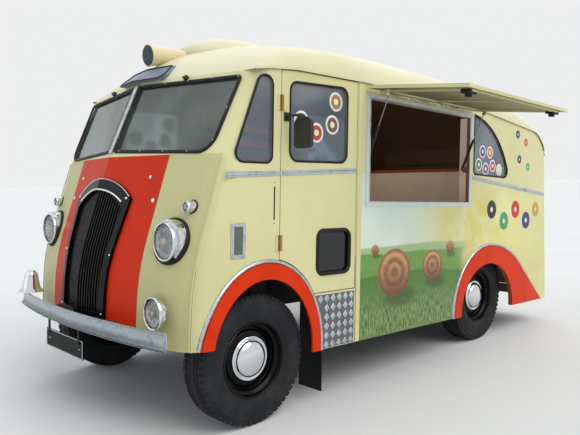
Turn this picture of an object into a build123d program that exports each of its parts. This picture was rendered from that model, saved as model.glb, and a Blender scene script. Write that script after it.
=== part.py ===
from build123d import *
import os
from math import asin, atan2, cos, degrees, hypot, radians, sin, sqrt, tan

# Forward-control ice cream van of the 1950s, full size, in millimetres.
# Body frame: X forward, Y to the van's left, Z up, and the body's own lines level.
# The van stands nose-up on its springs, so the last step turns every piece by RAKE about Y,
# sets the tyres on Z = 0 and puts the origin under the middle of the whole outline.

RAKE = 2.37

# Wheels and axles
FRONT_AXLE_X = -45
FRONT_AXLE_Z = 320
WHEELBASE = 2550
TYRE_RADIUS = 378
TYRE_WIDTH = 190
RIM_RADIUS = 212
RIM_WIDTH = 150
FLANGE_HEIGHT = 10
HUB_BORE = 30
HUB_CAP_RADIUS = 127
HUB_CAP_RISE = 48
HUB_CAP_SET_IN = 36
FRONT_TRACK = 1640
REAR_TRACK = 1572
KINGPIN_INSET = 85
KINGPIN_RADIUS = 12
RUNNING_CLEARANCE = 0.05
SEAT_GAP = 0.3
REAR_AXLE_X = FRONT_AXLE_X - WHEELBASE * cos(radians(RAKE))
REAR_AXLE_Z = FRONT_AXLE_Z + WHEELBASE * sin(radians(RAKE))

# Body shell
HALF_WIDTH = 960
WALL = 25
NOSE_WALL = 26
SILL_Z = 310
NOSE_BOTTOM_Z = 440
NOSE_V = 0.17
CORNER_RADIUS = 150
SEAM_Y = 915
NOSE_FOOT = (600, NOSE_BOTTOM_Z)
NOSE_KNEE = (594, 640)
NOSE_BROW = (535, 1000)
CREASE_Z = 1475
SPLIT_Z = 1479
HEADER_X = 190
HEADER_Z = 1957
REAR_BOTTOM_X = -3740
REAR_LEAN = 0.0836
FLOOR_Z = 665
FLOOR_THICKNESS = 40

# Doors and windows
DOOR_FRONT_X = -168
DOOR_REAR_X = -838
DOOR_SILL_Z = 668
DOOR_GAP = 5
DOOR_TOP_DROP = 10
GLASS = 6
GLASS_SET_IN = 9

# Serving hatch
HATCH_FRONT_X = -935
HATCH_REAR_X = -2265
HATCH_BOTTOM_Z = 1195
HATCH_TOP_Z = 1938
HATCH_FRAME = 31
HATCH_FRAME_THICKNESS = 6
HATCH_HINGE_Y = 968
HATCH_HINGE_Z = 1958
HATCH_REACH = 742
HATCH_THICKNESS = 20
HATCH_STANDOFF = 8
HATCH_SWING = 84.0


def outline(*edges):
    """A flat face from a closed run of edges."""
    return make_face(Wire(list(edges)))


def polygon(*points):
    """A flat face from its corner points."""
    return make_face(Polyline(*points, close=True))


def prism(profile, y_low, y_high, lean=0.0):
    """A side-view profile drawn in (x, z), carried across the van from y_low to y_high."""
    side = Plane(origin=(lean * y_low, y_low, 0), x_dir=(1, 0, 0), z_dir=(0, -1, 0))
    run = y_high - y_low
    way = 1 if run > 0 else -1
    return extrude(side * profile, amount=abs(run) * hypot(1, lean), dir=(way * lean, way, 0))


def head_on(profile, x_low, x_high):
    """A front-view profile drawn in (y, z), carried along the van from x_low to x_high."""
    front = Plane(origin=(x_low, 0, 0), x_dir=(0, 1, 0), z_dir=(1, 0, 0))
    return extrude(front * profile, amount=x_high - x_low)


def upright(profile, z_low, z_high):
    """A plan-view profile drawn in (x, y), raised from z_low to z_high."""
    return extrude(Pos(0, 0, z_low) * profile, amount=z_high - z_low)


def block(low, high):
    """A plain box between two corners."""
    size = [abs(b - a) for a, b in zip(low, high)]
    corner = [min(a, b) for a, b in zip(low, high)]
    return Pos(*corner) * Box(*size, align=(Align.MIN, Align.MIN, Align.MIN))


def right_hand(shape):
    """The same piece on the van's right side."""
    return mirror(shape, about=Plane.XZ)


def both(shape):
    """A left piece and its right-hand twin."""
    return [shape, right_hand(shape)]


# Side view of the nose

def tangent_end(start, slope, end):
    """Slope (dx/dz) at the end of the arc that leaves start with the given slope."""
    chord = atan2(end[0] - start[0], end[1] - start[1])
    return tan(2 * chord - atan2(slope, 1))


KNEE_SLOPE = (NOSE_KNEE[0] - NOSE_FOOT[0]) / (NOSE_KNEE[1] - NOSE_FOOT[1])
BROW_SLOPE = tangent_end(NOSE_KNEE, KNEE_SLOPE, NOSE_BROW)
CREASE_X = NOSE_BROW[0] + BROW_SLOPE * (CREASE_Z - NOSE_BROW[1])
SCREEN_SLOPE = (HEADER_X - CREASE_X) / (HEADER_Z - CREASE_Z)
NOSE_BACK_X = -420
NOSE_TOP_Z = 2060


def screen_x(z):
    """Where the windscreen's face stands on the centre line at a height."""
    return CREASE_X + SCREEN_SLOPE * (z - CREASE_Z)


def nose_x(z):
    """Where the nose stands on the centre line at a height."""
    if z >= CREASE_Z:
        return screen_x(z)
    if z >= NOSE_BROW[1]:
        return NOSE_BROW[0] + BROW_SLOPE * (z - NOSE_BROW[1])
    if z <= NOSE_KNEE[1]:
        return NOSE_FOOT[0] + KNEE_SLOPE * (z - NOSE_FOOT[1])
    share = (z - NOSE_KNEE[1]) / (NOSE_BROW[1] - NOSE_KNEE[1])
    run = NOSE_BROW[0] - NOSE_KNEE[0]
    drop = NOSE_BROW[1] - NOSE_KNEE[1]
    return NOSE_KNEE[0] + KNEE_SLOPE * drop * share + (run - KNEE_SLOPE * drop) * share ** 2


def face_x(y, z):
    """The nose's face at a place off the centre line, before its corner is rounded."""
    return nose_x(z) - NOSE_V * abs(y)


def nose_profile(shift, bottom=NOSE_BOTTOM_Z, back=NOSE_BACK_X, top=NOSE_TOP_Z):
    """The side view from the nose back to a cut line, moved forward by shift."""
    foot = (NOSE_FOOT[0] + shift + KNEE_SLOPE * (bottom - NOSE_FOOT[1]), bottom)
    knee = (NOSE_KNEE[0] + shift, NOSE_KNEE[1])
    brow = (NOSE_BROW[0] + shift, NOSE_BROW[1])
    crease = (CREASE_X + shift, CREASE_Z)
    peak = (screen_x(top) + shift, top)
    arc = TangentArc(knee, brow, tangent=(KNEE_SLOPE, 1))
    return outline(Line(foot, knee), arc, Line(brow, crease), Line(crease, peak),
                   Line(peak, (back, top)), Line((back, top), (back, bottom)),
                   Line((back, bottom), foot))


NOSE_LEVELS = [NOSE_BOTTOM_Z, NOSE_KNEE[1], 720, 800, 870, 940, NOSE_BROW[1], CREASE_Z, NOSE_TOP_Z]


def nose_section(z, shift, half_width, corner, hand):
    """Half of the nose in plan at a height: V front, rounded corner, straight side."""
    tip = nose_x(z) + shift
    stretch = hypot(1, NOSE_V)
    centre_y = half_width - corner
    centre_x = tip - NOSE_V * centre_y - corner * stretch
    turn = (atan2(NOSE_V, 1) + radians(90)) / 2

    def spot(x, y):
        return (x, hand * y, z)

    start = spot(centre_x + corner / stretch, centre_y + corner * NOSE_V / stretch)
    middle = spot(centre_x + corner * cos(turn), centre_y + corner * sin(turn))
    end = spot(centre_x, half_width)
    front, back, rear = spot(tip, 0), spot(NOSE_BACK_X, half_width), spot(NOSE_BACK_X, 0)
    return Face(Wire([Line(front, start), ThreePointArc(start, middle, end), Line(end, back),
                      Line(back, rear), Line(rear, front)]))


def nose_half(shift, half_width, corner, hand=1):
    """Half of the nose as a filled form; hand is -1 for the right."""
    return loft([nose_section(z, shift, half_width, corner, hand) for z in NOSE_LEVELS], ruled=True)


def nose_slab(outer_shift, inner_shift, y_limit=HALF_WIDTH):
    """A thin V-fronted slab that follows the nose on both sides of the centre line."""
    outer = prism(nose_profile(outer_shift), 0, y_limit, -NOSE_V)
    inner = prism(nose_profile(inner_shift), 0, y_limit, -NOSE_V)
    return outer - inner


# Side view of the roof line

def gutter_line(offset=0.0):
    """The line that parts the roof from the walls, in (x, z), front to rear."""
    points = [(900, 2116), (60, 1944), (-60, 1967), (-280, 1990), (-900, 2003), (-2450, 1981),
              (-3330, 1899)]
    moved = [(x, z + offset) for x, z in points]
    lines = [Line(a, b) for a, b in zip(moved, moved[1:])]
    start = moved[-1]
    run = (moved[-1][0] - moved[-2][0], moved[-1][1] - moved[-2][1])
    bend = TangentArc(start, (-3588, 1735 + offset), tangent=run)
    tail = Line((-3588, 1735 + offset), (-3900, 1300 + offset))
    return [*lines, bend, tail]


def below_gutter(offset=0.0):
    """Everything in side view below the gutter line."""
    run = gutter_line(offset)
    start = run[0] @ 0
    end = run[-1] @ 1
    floor = 0
    return outline(*run, Line(end, (end.X, floor)), Line((end.X, floor), (start.X, floor)),
                   Line((start.X, floor), start))


def rear_x(z):
    """The rear face in side view."""
    return REAR_BOTTOM_X + REAR_LEAN * (z - SILL_Z)


ROOF_TOP_Z = 2700
REAR_CORNER_RADIUS = 30


def rear_profile(shift, bottom=SILL_Z, front=-3000):
    """The side view from a cut line back to the leaning rear face."""
    return polygon((front, bottom), (rear_x(bottom) + shift, bottom),
                   (rear_x(ROOF_TOP_Z) + shift, ROOF_TOP_Z), (front, ROOF_TOP_Z))


# Wheel arches, drawn in side view

FRONT_ARCH_X = -76
FRONT_ARCH_Z = 352
FRONT_ARCH_INNER = (373, 432)
FRONT_ARCH_BAND = 72
FRONT_ARCH_CROWN = 18
ARCH_STRIP = 24
BAND_PROUD = 12
REAR_ARCH_X = -2585
REAR_ARCH_Z = 330
REAR_ARCH_INNER = (428, 385)
REAR_ARCH_LEAD = (528, 530)
REAR_ARCH_TAIL_X = -3590


def ellipse_over(x, z, half_length, height, foot_z):
    """A half ellipse standing on straight legs that reach down to foot_z."""
    hood = Pos(x, z) * Ellipse(half_length, height)
    legs = Pos(x, (z + foot_z) / 2) * Rectangle(2 * half_length, z - foot_z)
    hood = hood - Pos(x, z - height) * Rectangle(4 * half_length, 2 * height)
    return hood + legs


def front_arch(grow=0.0, foot=0.0):
    """The front arch's outline, grown outwards."""
    crown = FRONT_ARCH_CROWN if grow > 0 else 0
    return ellipse_over(FRONT_ARCH_X, FRONT_ARCH_Z, FRONT_ARCH_INNER[0] + grow,
                        FRONT_ARCH_INNER[1] + grow + crown, foot)


def rear_arch_inner(foot=0.0):
    return ellipse_over(REAR_ARCH_X, REAR_ARCH_Z, *REAR_ARCH_INNER, foot)


def rear_arch_outer(grow=0.0, foot=0.0):
    """The rear spat: upright in front and swept down to the rear."""
    crest = (REAR_ARCH_X - 20, REAR_ARCH_Z + REAR_ARCH_LEAD[1] + grow)
    lead_x = REAR_ARCH_X + REAR_ARCH_LEAD[0] + grow
    lead = ThreePointArc((lead_x, REAR_ARCH_Z),
                         (lead_x - 0.27 * (lead_x - crest[0]), REAR_ARCH_Z + 0.69 * (crest[1] - REAR_ARCH_Z)),
                         crest)
    sweep_end = (-3205 - grow * 0.8, 620 + grow * 0.6)
    tail = (REAR_ARCH_TAIL_X - grow * 1.2, SILL_Z)
    sweep_down = TangentArc(crest, sweep_end, tangent=(-1, 0))
    return outline(Line((lead_x, foot), (lead_x, REAR_ARCH_Z)), lead, sweep_down, Line(sweep_end, tail),
                   Line(tail, (tail[0], foot)), Line((tail[0], foot), (lead_x, foot)))


# Windows, drawn in side view

def rounded(points, radii):
    """A polygon with its corners rounded, one radius for each corner."""
    return make_face(FilletPolyline(*points, radius=radii, close=True))


def door_window(grow=0.0):
    low, high = 1458 - grow, 1930 + grow
    return rounded([(-240 + grow, low), (-240 + grow, high - 14), (-742 - grow, high + 10),
                    (-742 - grow, low + 14)], [60, 55, 55, 60])


def door_lower_window(grow=0.0):
    return Pos(-632, 914) * RectangleRounded(292 + 2 * grow, 266 + 2 * grow, 48)


def quarter_window(grow=0.0):
    return rounded([(180 + 1.5 * grow, 1434 - grow), (-10 + grow, 1925 + grow), (-106 - grow, 1925 + grow),
                    (-106 - grow, 1440 - grow)], [50, 52, 50, 45])


def teardrop_window(grow=0.0):
    """Upright in front, with one long curve from its top round to its lower rear corner."""
    front_x, low_z = -2306 + grow, 1458 - grow
    top = (front_x, 1938 + grow)
    hip = (-2871 - grow, 1530)
    heel = (-2818 - grow * 0.7, 1448 - grow)
    long_curve = ThreePointArc(top, (-2700 - grow * 0.7, 1758 + grow * 0.7), hip)
    return outline(Line((front_x, low_z + 8), top), long_curve, TangentArc(hip, heel, tangent=long_curve % 1),
                   Line(heel, (front_x, low_z + 8)))


def hatch_opening(grow=0.0):
    length = HATCH_FRONT_X - HATCH_REAR_X - 2 * HATCH_FRAME + 2 * grow
    height = HATCH_TOP_Z - HATCH_BOTTOM_Z - 2 * HATCH_FRAME + 2 * grow
    middle = ((HATCH_FRONT_X + HATCH_REAR_X) / 2, (HATCH_TOP_Z + HATCH_BOTTOM_Z) / 2)
    return Pos(*middle) * RectangleRounded(length, height, 8)


# Body panels

def side_region(front, rear, low, high=NOSE_TOP_Z):
    return polygon((front, low), (front, high), (rear, high), (rear, low))


def wall(region):
    """A piece of the left side wall cut from a side-view region."""
    return prism(region, HALF_WIDTH - WALL, HALF_WIDTH)


def front_shell(hand):
    """Half of the nose and windscreen wall, as thick as the real one."""
    filled = nose_half(0, HALF_WIDTH, CORNER_RADIUS, hand)
    return filled - nose_half(-NOSE_WALL, HALF_WIDTH - WALL, CORNER_RADIUS - WALL, hand)


FRONT_SHELL = front_shell(1)
FRONT_SHELLS = {1: FRONT_SHELL, -1: front_shell(-1)}
UNDER_ROOF = prism(below_gutter(), -HALF_WIDTH - 50, HALF_WIDTH + 50)

UNDER_ROOF_BODY = prism(below_gutter(), -HALF_WIDTH, HALF_WIDTH)

LAMP_OFFSETS = {"head": (741, 1004), "side": (824, 1190), "fog": (735, 628)}
GRILLE_HALF_TOP = 329
GRILLE_HALF_FOOT = 276
GRILLE_SHOULDER_Z = 1224
GRILLE_PEAK_Z = 1345
GRILLE_WAIST_Z = 800
GRILLE_FOOT_Z = 512
GRILLE_BORDER = 50
GRILLE_CROWN_BORDER = 72
GRILLE_PROUD = 20
FIN_PITCH = 24
FIN_WIDTH = 9


def grille_outline(inset_side=0.0, inset_top=0.0, inset_foot=0.0):
    """The arched grille opening in front view: wide shoulders, narrow foot."""
    shoulder = (GRILLE_HALF_TOP - inset_side, GRILLE_SHOULDER_Z - inset_top * 0.8)
    waist = (GRILLE_HALF_FOOT + 6 - inset_side, GRILLE_WAIST_Z)
    foot = (GRILLE_HALF_FOOT - inset_side, GRILLE_FOOT_Z + inset_foot)
    peak = (0, GRILLE_PEAK_Z - inset_top)

    def left(point):
        return (-point[0], point[1])

    crown = ThreePointArc(shoulder, peak, left(shoulder))
    return outline(Line(foot, waist), Line(waist, shoulder), crown, Line(left(shoulder), left(waist)),
                   Line(left(waist), left(foot)), Line(left(foot), foot))


def nose_panel():
    """The front panel from the bumper to the windscreen, with its grille opening."""
    halves = [shell & block((140, -hand, 0), (900, hand * SEAM_Y, SPLIT_Z))
              for hand, shell in FRONT_SHELLS.items()]
    opening = head_on(grille_outline(GRILLE_BORDER, GRILLE_CROWN_BORDER, GRILLE_BORDER), 0, 900)
    return halves[0] + halves[1] - opening


SCREEN_INNER_Y = 32
SCREEN_OUTER_Y = 862


def screen_outline(grow=0.0):
    """One windscreen pane in front view: sharp above, well rounded at its lower outer corner."""
    return rounded([(SCREEN_INNER_Y - grow, 1512 - grow), (SCREEN_INNER_Y - grow, 1932 + grow),
                    (SCREEN_OUTER_Y + 14 + grow, 1912 + grow), (SCREEN_OUTER_Y - 16 + grow, 1486 - grow)],
                   [14, 14, 20, 95])


def windscreen_surround():
    """Pillars, centre post, sill and header around the two flat panes."""
    window = head_on(screen_outline(), -400, 900)
    halves = [(shell & block((-75, -hand, SPLIT_Z), (900, hand * SEAM_Y, 2200))) & UNDER_ROOF
              for hand, shell in FRONT_SHELLS.items()]
    return [halves[0] - window, halves[1] - right_hand(window)]


def windscreen_glass():
    pane = nose_slab(-GLASS_SET_IN, -GLASS_SET_IN - GLASS)
    pane = pane & head_on(screen_outline(-SEAT_GAP), -400, 900)
    return both(pane)


def cab_side():
    """Corner, quarter window and front arch of the left side, ahead of the door."""
    corner = FRONT_SHELL & block((-500, SEAM_Y, 0), (900, HALF_WIDTH + 1, NOSE_TOP_Z))
    region = side_region(700, DOOR_FRONT_X, 0) + front_arch(FRONT_ARCH_BAND + ARCH_STRIP)
    corner = corner & prism(region, 0, 2000)
    behind = side_region(NOSE_BACK_X + 60, FRONT_ARCH_X - 700, SILL_Z)
    leg = wall(front_arch(FRONT_ARCH_BAND + ARCH_STRIP) & behind)
    panel = corner + leg
    panel = panel - prism(front_arch(), 0, 2000) - block((-900, 0, 0), (900, 2000, SILL_Z))
    panel = panel - prism(quarter_window(), 0, 2000)
    return panel & UNDER_ROOF


def side_wall_region():
    """The left side behind the door, with the sill piece under the door."""
    front = DOOR_REAR_X - DOOR_GAP
    region = polygon((front, SILL_Z), (front, NOSE_TOP_Z), (rear_x(NOSE_TOP_Z) + REAR_CORNER_RADIUS, NOSE_TOP_Z),
                     (rear_x(SILL_Z) + REAR_CORNER_RADIUS, SILL_Z))
    sill = side_region(FRONT_ARCH_X, DOOR_REAR_X - DOOR_GAP, SILL_Z, DOOR_SILL_Z - DOOR_GAP)
    sill = sill - front_arch(FRONT_ARCH_BAND + ARCH_STRIP)
    return region + sill


def side_panel(with_hatch):
    """A side wall from the door to the rear corner post."""
    region = side_wall_region() - rear_arch_inner() - teardrop_window()
    if with_hatch:
        region = region - hatch_opening()
    return wall(region) & UNDER_ROOF


def rear_form(shift, half_width, corner):
    """The rear of the body as a filled form with rounded corners."""
    form = prism(rear_profile(shift), -half_width, half_width)
    edges = [edge for edge in form.edges()
             if abs(abs(edge.center().Y) - half_width) < 1 and edge.center().X < -3200
             and SILL_Z + 1 < edge.center().Z < ROOF_TOP_Z - 1]
    return fillet(edges, corner)


REAR_SHELL = (rear_form(0, HALF_WIDTH, REAR_CORNER_RADIUS)
              - rear_form(WALL, HALF_WIDTH - WALL, REAR_CORNER_RADIUS - WALL))
REAR_DOOR_LOW_Z = 400
REAR_DOOR_HIGH_Z = 1655
REAR_DOOR_EDGE_Y = 915


def rear_strip(depth):
    """Everything within a depth of the leaning rear face."""
    return prism(polygon((rear_x(0), 0), (rear_x(0) + depth, 0), (rear_x(ROOF_TOP_Z) + depth, ROOF_TOP_Z),
                         (rear_x(ROOF_TOP_Z), ROOF_TOP_Z)), -1000, 1000)


def rear_panel():
    """The rear frame: corner posts, sill and the strip over the doors, carried up inside the roof."""
    head = roof_form(ROOF_WALL + SEAT_GAP)
    shell = REAR_SHELL & rear_strip(REAR_CORNER_RADIUS)
    shell = (shell & UNDER_ROOF) + (shell & head) + (shell & right_hand(head))
    opening = polygon((-REAR_DOOR_EDGE_Y, REAR_DOOR_LOW_Z), (-REAR_DOOR_EDGE_Y, REAR_DOOR_HIGH_Z),
                      (REAR_DOOR_EDGE_Y, REAR_DOOR_HIGH_Z), (REAR_DOOR_EDGE_Y, REAR_DOOR_LOW_Z))
    return shell - head_on(opening, -4000, -3300)


def rear_door():
    """The left rear door, a leaning panel in the rear frame."""
    face = polygon((DOOR_GAP / 2, REAR_DOOR_LOW_Z + DOOR_GAP), (DOOR_GAP / 2, REAR_DOOR_HIGH_Z - DOOR_GAP),
                   (REAR_DOOR_EDGE_Y - DOOR_GAP, REAR_DOOR_HIGH_Z - DOOR_GAP),
                   (REAR_DOOR_EDGE_Y - DOOR_GAP, REAR_DOOR_LOW_Z + DOOR_GAP))
    return rear_strip(WALL) & head_on(face, -4000, -3300)


# Roof, lofted through cross-sections

# Columns: x on the centre line, x at the side, wall-top z, crown z, shoulder radius
ROOF_STATIONS = [
    (HEADER_X + 4, 26, 1925, 1962, 20),
    (100, -52, 1948, 2062, 70),
    (-40, -150, 1960, 2150, 120),
    (-300, -350, 1980, 2245, 170),
    (-800, -800, 2000, 2322, 205),
    (-1700, -1700, 1990, 2352, 240),
    (-2600, -2600, 1970, 2300, 240),
    (-3150, -3150, 1910, 2180, 200),
    (-3480, -3480, 1826, 1960, 120),
    (-3700, -3700, 1540, 1640, 60),
]
ROOF_SKIRT = 60
ROOF_WALL = 25


def roof_section(station, inset):
    """Half a roof section: a vertical side, a shoulder arc and a crown arc level at the centre."""
    centre_x, side_x, wall_z, crown_z, shoulder = station
    half = HALF_WIDTH - inset
    crown_z = crown_z - inset
    rise = crown_z - wall_z
    shoulder = min(max(shoulder - inset, 12), 0.6 * rise)
    crown = ((half - shoulder) ** 2 + rise ** 2 - shoulder ** 2) / (2 * (rise - shoulder))
    lean = atan2(half - shoulder, crown - rise)
    meet = (crown * sin(lean), crown_z - crown + crown * cos(lean))
    middle = (crown * sin(lean / 2), crown_z - crown + crown * cos(lean / 2))
    turn = (lean + radians(90)) / 2
    bend = (half - shoulder + shoulder * sin(turn), wall_z + shoulder * cos(turn))
    low = wall_z - ROOF_SKIRT
    along = Vector(side_x - centre_x, HALF_WIDTH, 0).normalized()
    stretch = hypot(side_x - centre_x, HALF_WIDTH) / HALF_WIDTH

    def spot(y, z):
        return Vector(centre_x, 0, z) + along * (y * stretch)

    return Face(Wire([Line(spot(0, low), spot(0, crown_z)),
                      ThreePointArc(spot(0, crown_z), spot(*middle), spot(*meet)),
                      ThreePointArc(spot(*meet), spot(*bend), spot(half, wall_z)),
                      Line(spot(half, wall_z), spot(half, low)),
                      Line(spot(half, low), spot(0, low))]))


def roof_form(inset):
    """The filled form under the roof skin, left half."""
    return loft([roof_section(station, inset) for station in ROOF_STATIONS])


GUTTER_PROUD = 12
GUTTER_BELOW = 4
GUTTER_ABOVE = 9


def gutter():
    """The rain gutter along the left side, from the windscreen to the rear corner."""
    band = below_gutter(GUTTER_ABOVE) - below_gutter(-GUTTER_BELOW)
    band = band & side_region(30, -3592, 1500, 2100)
    return prism(band, HALF_WIDTH - 1, HALF_WIDTH + GUTTER_PROUD) - UNDER_ROOF_BODY


def roof():
    """The roof skin with its domed front and rear, and the gutters along its sides."""
    half = (roof_form(0) - UNDER_ROOF) & prism(nose_profile(0, back=-4000, top=ROOF_TOP_Z), 0, HALF_WIDTH, -NOSE_V)
    half = half & prism(rear_profile(0, front=600), 0, HALF_WIDTH)
    half = (half - (roof_form(ROOF_WALL) - UNDER_ROOF)) + gutter()
    return [half, right_hand(half)]


FAIRING_CENTRE = (-545, 0, 2215)
FAIRING_SIZE = (400, 330, 136)


def fairing_dome(grow=0.0):
    return Pos(*FAIRING_CENTRE) * scale(Sphere(1), by=tuple(size + grow for size in FAIRING_SIZE))


def roof_fairing():
    """The low dome on the front of the roof, in two halves."""
    half = (fairing_dome() & block((-2000, 0, 0), (2000, 2000, 4000))) - roof_form(0)
    half = half - block((-1200, -600, 1500), (200, 600, 2150))
    return [half, right_hand(half)]


# Doors

def door():
    """The left cab door, cut round the front arch, with its two windows."""
    region = side_region(DOOR_FRONT_X - DOOR_GAP, DOOR_REAR_X, DOOR_SILL_Z)
    region = region - front_arch(FRONT_ARCH_BAND + ARCH_STRIP + DOOR_GAP)
    region = region - door_window() - door_lower_window()
    return wall(region) & prism(below_gutter(-DOOR_TOP_DROP), 0, 2000)


GLASS_OUT_Y = HALF_WIDTH - GLASS_SET_IN


def side_glass(window):
    """A flat pane in the left side wall."""
    return prism(window(-SEAT_GAP), GLASS_OUT_Y - GLASS, GLASS_OUT_Y)


# Hinges: two fixed knuckles on a pin, with the moving barrel between them

HINGE_RADIUS = 6
HINGE_PIN = 3
LEAF_THICKNESS = 4


def hinge(length, leaf, stand):
    """Fixed and moving halves about Z; the wall is stand below the axis, leaves lie along X."""
    third = length / 3
    floor = -stand
    tab_top = floor + LEAF_THICKNESS + 2

    def knuckle(low, high):
        return Pos(0, 0, (low + high) / 2) * Cylinder(HINGE_RADIUS, high - low)

    def tab(side, low, high):
        x_low, x_high = sorted((0, side * (HINGE_RADIUS + 3)))
        return block((x_low, floor, low), (x_high, max(tab_top, -2), high))

    def leaf_plate(side):
        x_low, x_high = sorted((side * (HINGE_RADIUS + 2), side * leaf))
        return block((x_low, floor, -length / 2), (x_high, floor + LEAF_THICKNESS, length / 2))

    half = third / 2
    ends = [(-length / 2, -half - SEAT_GAP), (half + SEAT_GAP, length / 2)]
    fixed = leaf_plate(1) + Cylinder(HINGE_PIN, length)
    for low, high in ends:
        fixed = fixed + knuckle(low, high) + tab(1, low, high)
    moving = leaf_plate(-1) + knuckle(-half, half) + tab(-1, -half, half)
    moving = moving - Cylinder(HINGE_PIN + RUNNING_CLEARANCE, length)
    return fixed, moving


DOOR_HINGE_Y = HALF_WIDTH + 8
DOOR_HINGE_HEIGHTS = [985, 1785]
DOOR_HINGE_LENGTH = 90
DOOR_HINGE_X = DOOR_FRONT_X - DOOR_GAP / 2


def door_hinges():
    """Fixed and moving halves of the left door's hinges."""
    fixed, moving = hinge(DOOR_HINGE_LENGTH, 32, DOOR_HINGE_Y - HALF_WIDTH)
    places = [Pos(DOOR_HINGE_X, DOOR_HINGE_Y, z) for z in DOOR_HINGE_HEIGHTS]
    return [place * fixed for place in places], [place * moving for place in places]


REAR_HINGE_HEIGHTS = [560, 1040, 1480]
REAR_HINGE_BEHIND = 8
REAR_HINGE_LEAF = 17
REAR_HINGE_Y = REAR_DOOR_EDGE_Y - DOOR_GAP / 2
REAR_TILT = degrees(atan2(REAR_LEAN, 1))


def rear_hinge_place(z):
    """A frame on the left rear hinge axis, its Z along the axis and its Y facing rearwards."""
    point = (rear_x(z) - REAR_HINGE_BEHIND, REAR_HINGE_Y, z)
    return Plane(origin=point, x_dir=(0, 1, 0), z_dir=(REAR_LEAN, 0, 1))


def rear_hinges():
    """Fixed and moving halves of the left rear door's hinges."""
    stand = REAR_HINGE_BEHIND * cos(radians(REAR_TILT))
    fixed, moving = hinge(DOOR_HINGE_LENGTH, REAR_HINGE_LEAF, stand)
    places = [rear_hinge_place(z).location for z in REAR_HINGE_HEIGHTS]
    return [place * fixed for place in places], [place * moving for place in places]


# Serving hatch and its gas struts

HATCH_HINGE_SPANS = [(-1068, -1360), (-1405, -1730), (-1800, -2130)]


def hatch_hinge_place(span):
    """A frame on the hatch hinge axis, its Y facing out from the wall and its X up."""
    point = ((span[0] + span[1]) / 2, HATCH_HINGE_Y, HATCH_HINGE_Z)
    return Plane(origin=point, x_dir=(0, 0, 1), z_dir=(-1, 0, 0))


def open_hatch(shape):
    """Turns a piece of the closed hatch up to its open, parked place."""
    axis = Axis((0, HATCH_HINGE_Y, HATCH_HINGE_Z), (1, 0, 0))
    return shape.rotate(axis, HATCH_SWING)


HATCH_INNER_Y = HATCH_HINGE_Y + HATCH_STANDOFF
HATCH_OUTER_Y = HATCH_INNER_Y + HATCH_THICKNESS
HATCH_LIP = 10
HATCH_SIDE_LAP = 12


def hatch_panel():
    """The hatch panel with its hinge barrels, built closed and then opened."""
    panel = block((HATCH_REAR_X - HATCH_SIDE_LAP, HATCH_INNER_Y, HATCH_HINGE_Z - HATCH_REACH),
                  (HATCH_FRONT_X + HATCH_SIDE_LAP, HATCH_OUTER_Y, HATCH_HINGE_Z - HATCH_LIP))
    outer = panel.faces().sort_by(Axis.Y)[-1].edges()
    panel = fillet(outer, 5)
    for span in HATCH_HINGE_SPANS:
        place = hatch_hinge_place(span)
        length = (span[0] - span[1]) / 3
        barrel = Cylinder(HINGE_RADIUS, length)
        arm = block((-HATCH_LIP - 20, 0, -length / 2), (0, HATCH_STANDOFF, length / 2))
        barrel = barrel + arm - Cylinder(HINGE_PIN + RUNNING_CLEARANCE, length)
        panel = panel + place.location * barrel
    return open_hatch(panel)


def hatch_hinge_fixed():
    """The fixed knuckles, pins and leaves on the wall over the hatch."""
    pieces = []
    stand = HATCH_HINGE_Y - HALF_WIDTH
    for span in HATCH_HINGE_SPANS:
        length = span[0] - span[1]
        half = length / 6
        leaf = block((HINGE_RADIUS + 2, -stand, -length / 2), (19, -stand + LEAF_THICKNESS, length / 2))
        piece = leaf + Cylinder(HINGE_PIN, length)
        for low, high in ((-length / 2, -half - SEAT_GAP), (half + SEAT_GAP, length / 2)):
            piece = piece + Pos(0, 0, (low + high) / 2) * Cylinder(HINGE_RADIUS, high - low)
            piece = piece + block((0, -stand, low), (HINGE_RADIUS + 3, -stand + 7, high))
        pieces.append(hatch_hinge_place(span).location * piece)
    return pieces


def hatch_frame():
    """The flat frame round the serving opening."""
    middle = ((HATCH_FRONT_X + HATCH_REAR_X) / 2, (HATCH_TOP_Z + HATCH_BOTTOM_Z) / 2)
    outer = Pos(*middle) * Rectangle(HATCH_FRONT_X - HATCH_REAR_X, HATCH_TOP_Z - HATCH_BOTTOM_Z)
    return prism(outer - hatch_opening(), HALF_WIDTH, HALF_WIDTH + HATCH_FRAME_THICKNESS)


STRUT_XS = {"front": -995, "rear": -2205}
STRUT_FOOT = (914, 1492)
STRUT_REACH = 126
STRUT_DROP = 30
STRUT_TUBE_RADIUS = 10
STRUT_ROD_RADIUS = 4
STRUT_EYE_RADIUS = 9
STRUT_TUBE_LENGTH = 250
STRUT_CLEARANCE = 0.05
STRUT_PIN = 4


def strut_head():
    """The strut's upper end on the open hatch, in (y, z)."""
    swing = radians(HATCH_SWING)
    y = STRUT_DROP * -1 + HATCH_STANDOFF
    z = -STRUT_REACH
    return (HATCH_HINGE_Y + y * cos(swing) - z * sin(swing), HATCH_HINGE_Z + y * sin(swing) + z * cos(swing))


STRUT_HEAD = strut_head()
STRUT_LENGTH = hypot(STRUT_HEAD[0] - STRUT_FOOT[0], STRUT_HEAD[1] - STRUT_FOOT[1])
STRUT_LEAN = degrees(atan2(STRUT_HEAD[0] - STRUT_FOOT[0], STRUT_HEAD[1] - STRUT_FOOT[1]))


def strut_place(x):
    """A frame at the strut's foot, its Z along the open strut."""
    return Pos(x, *STRUT_FOOT) * Rot(-STRUT_LEAN, 0, 0)


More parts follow.
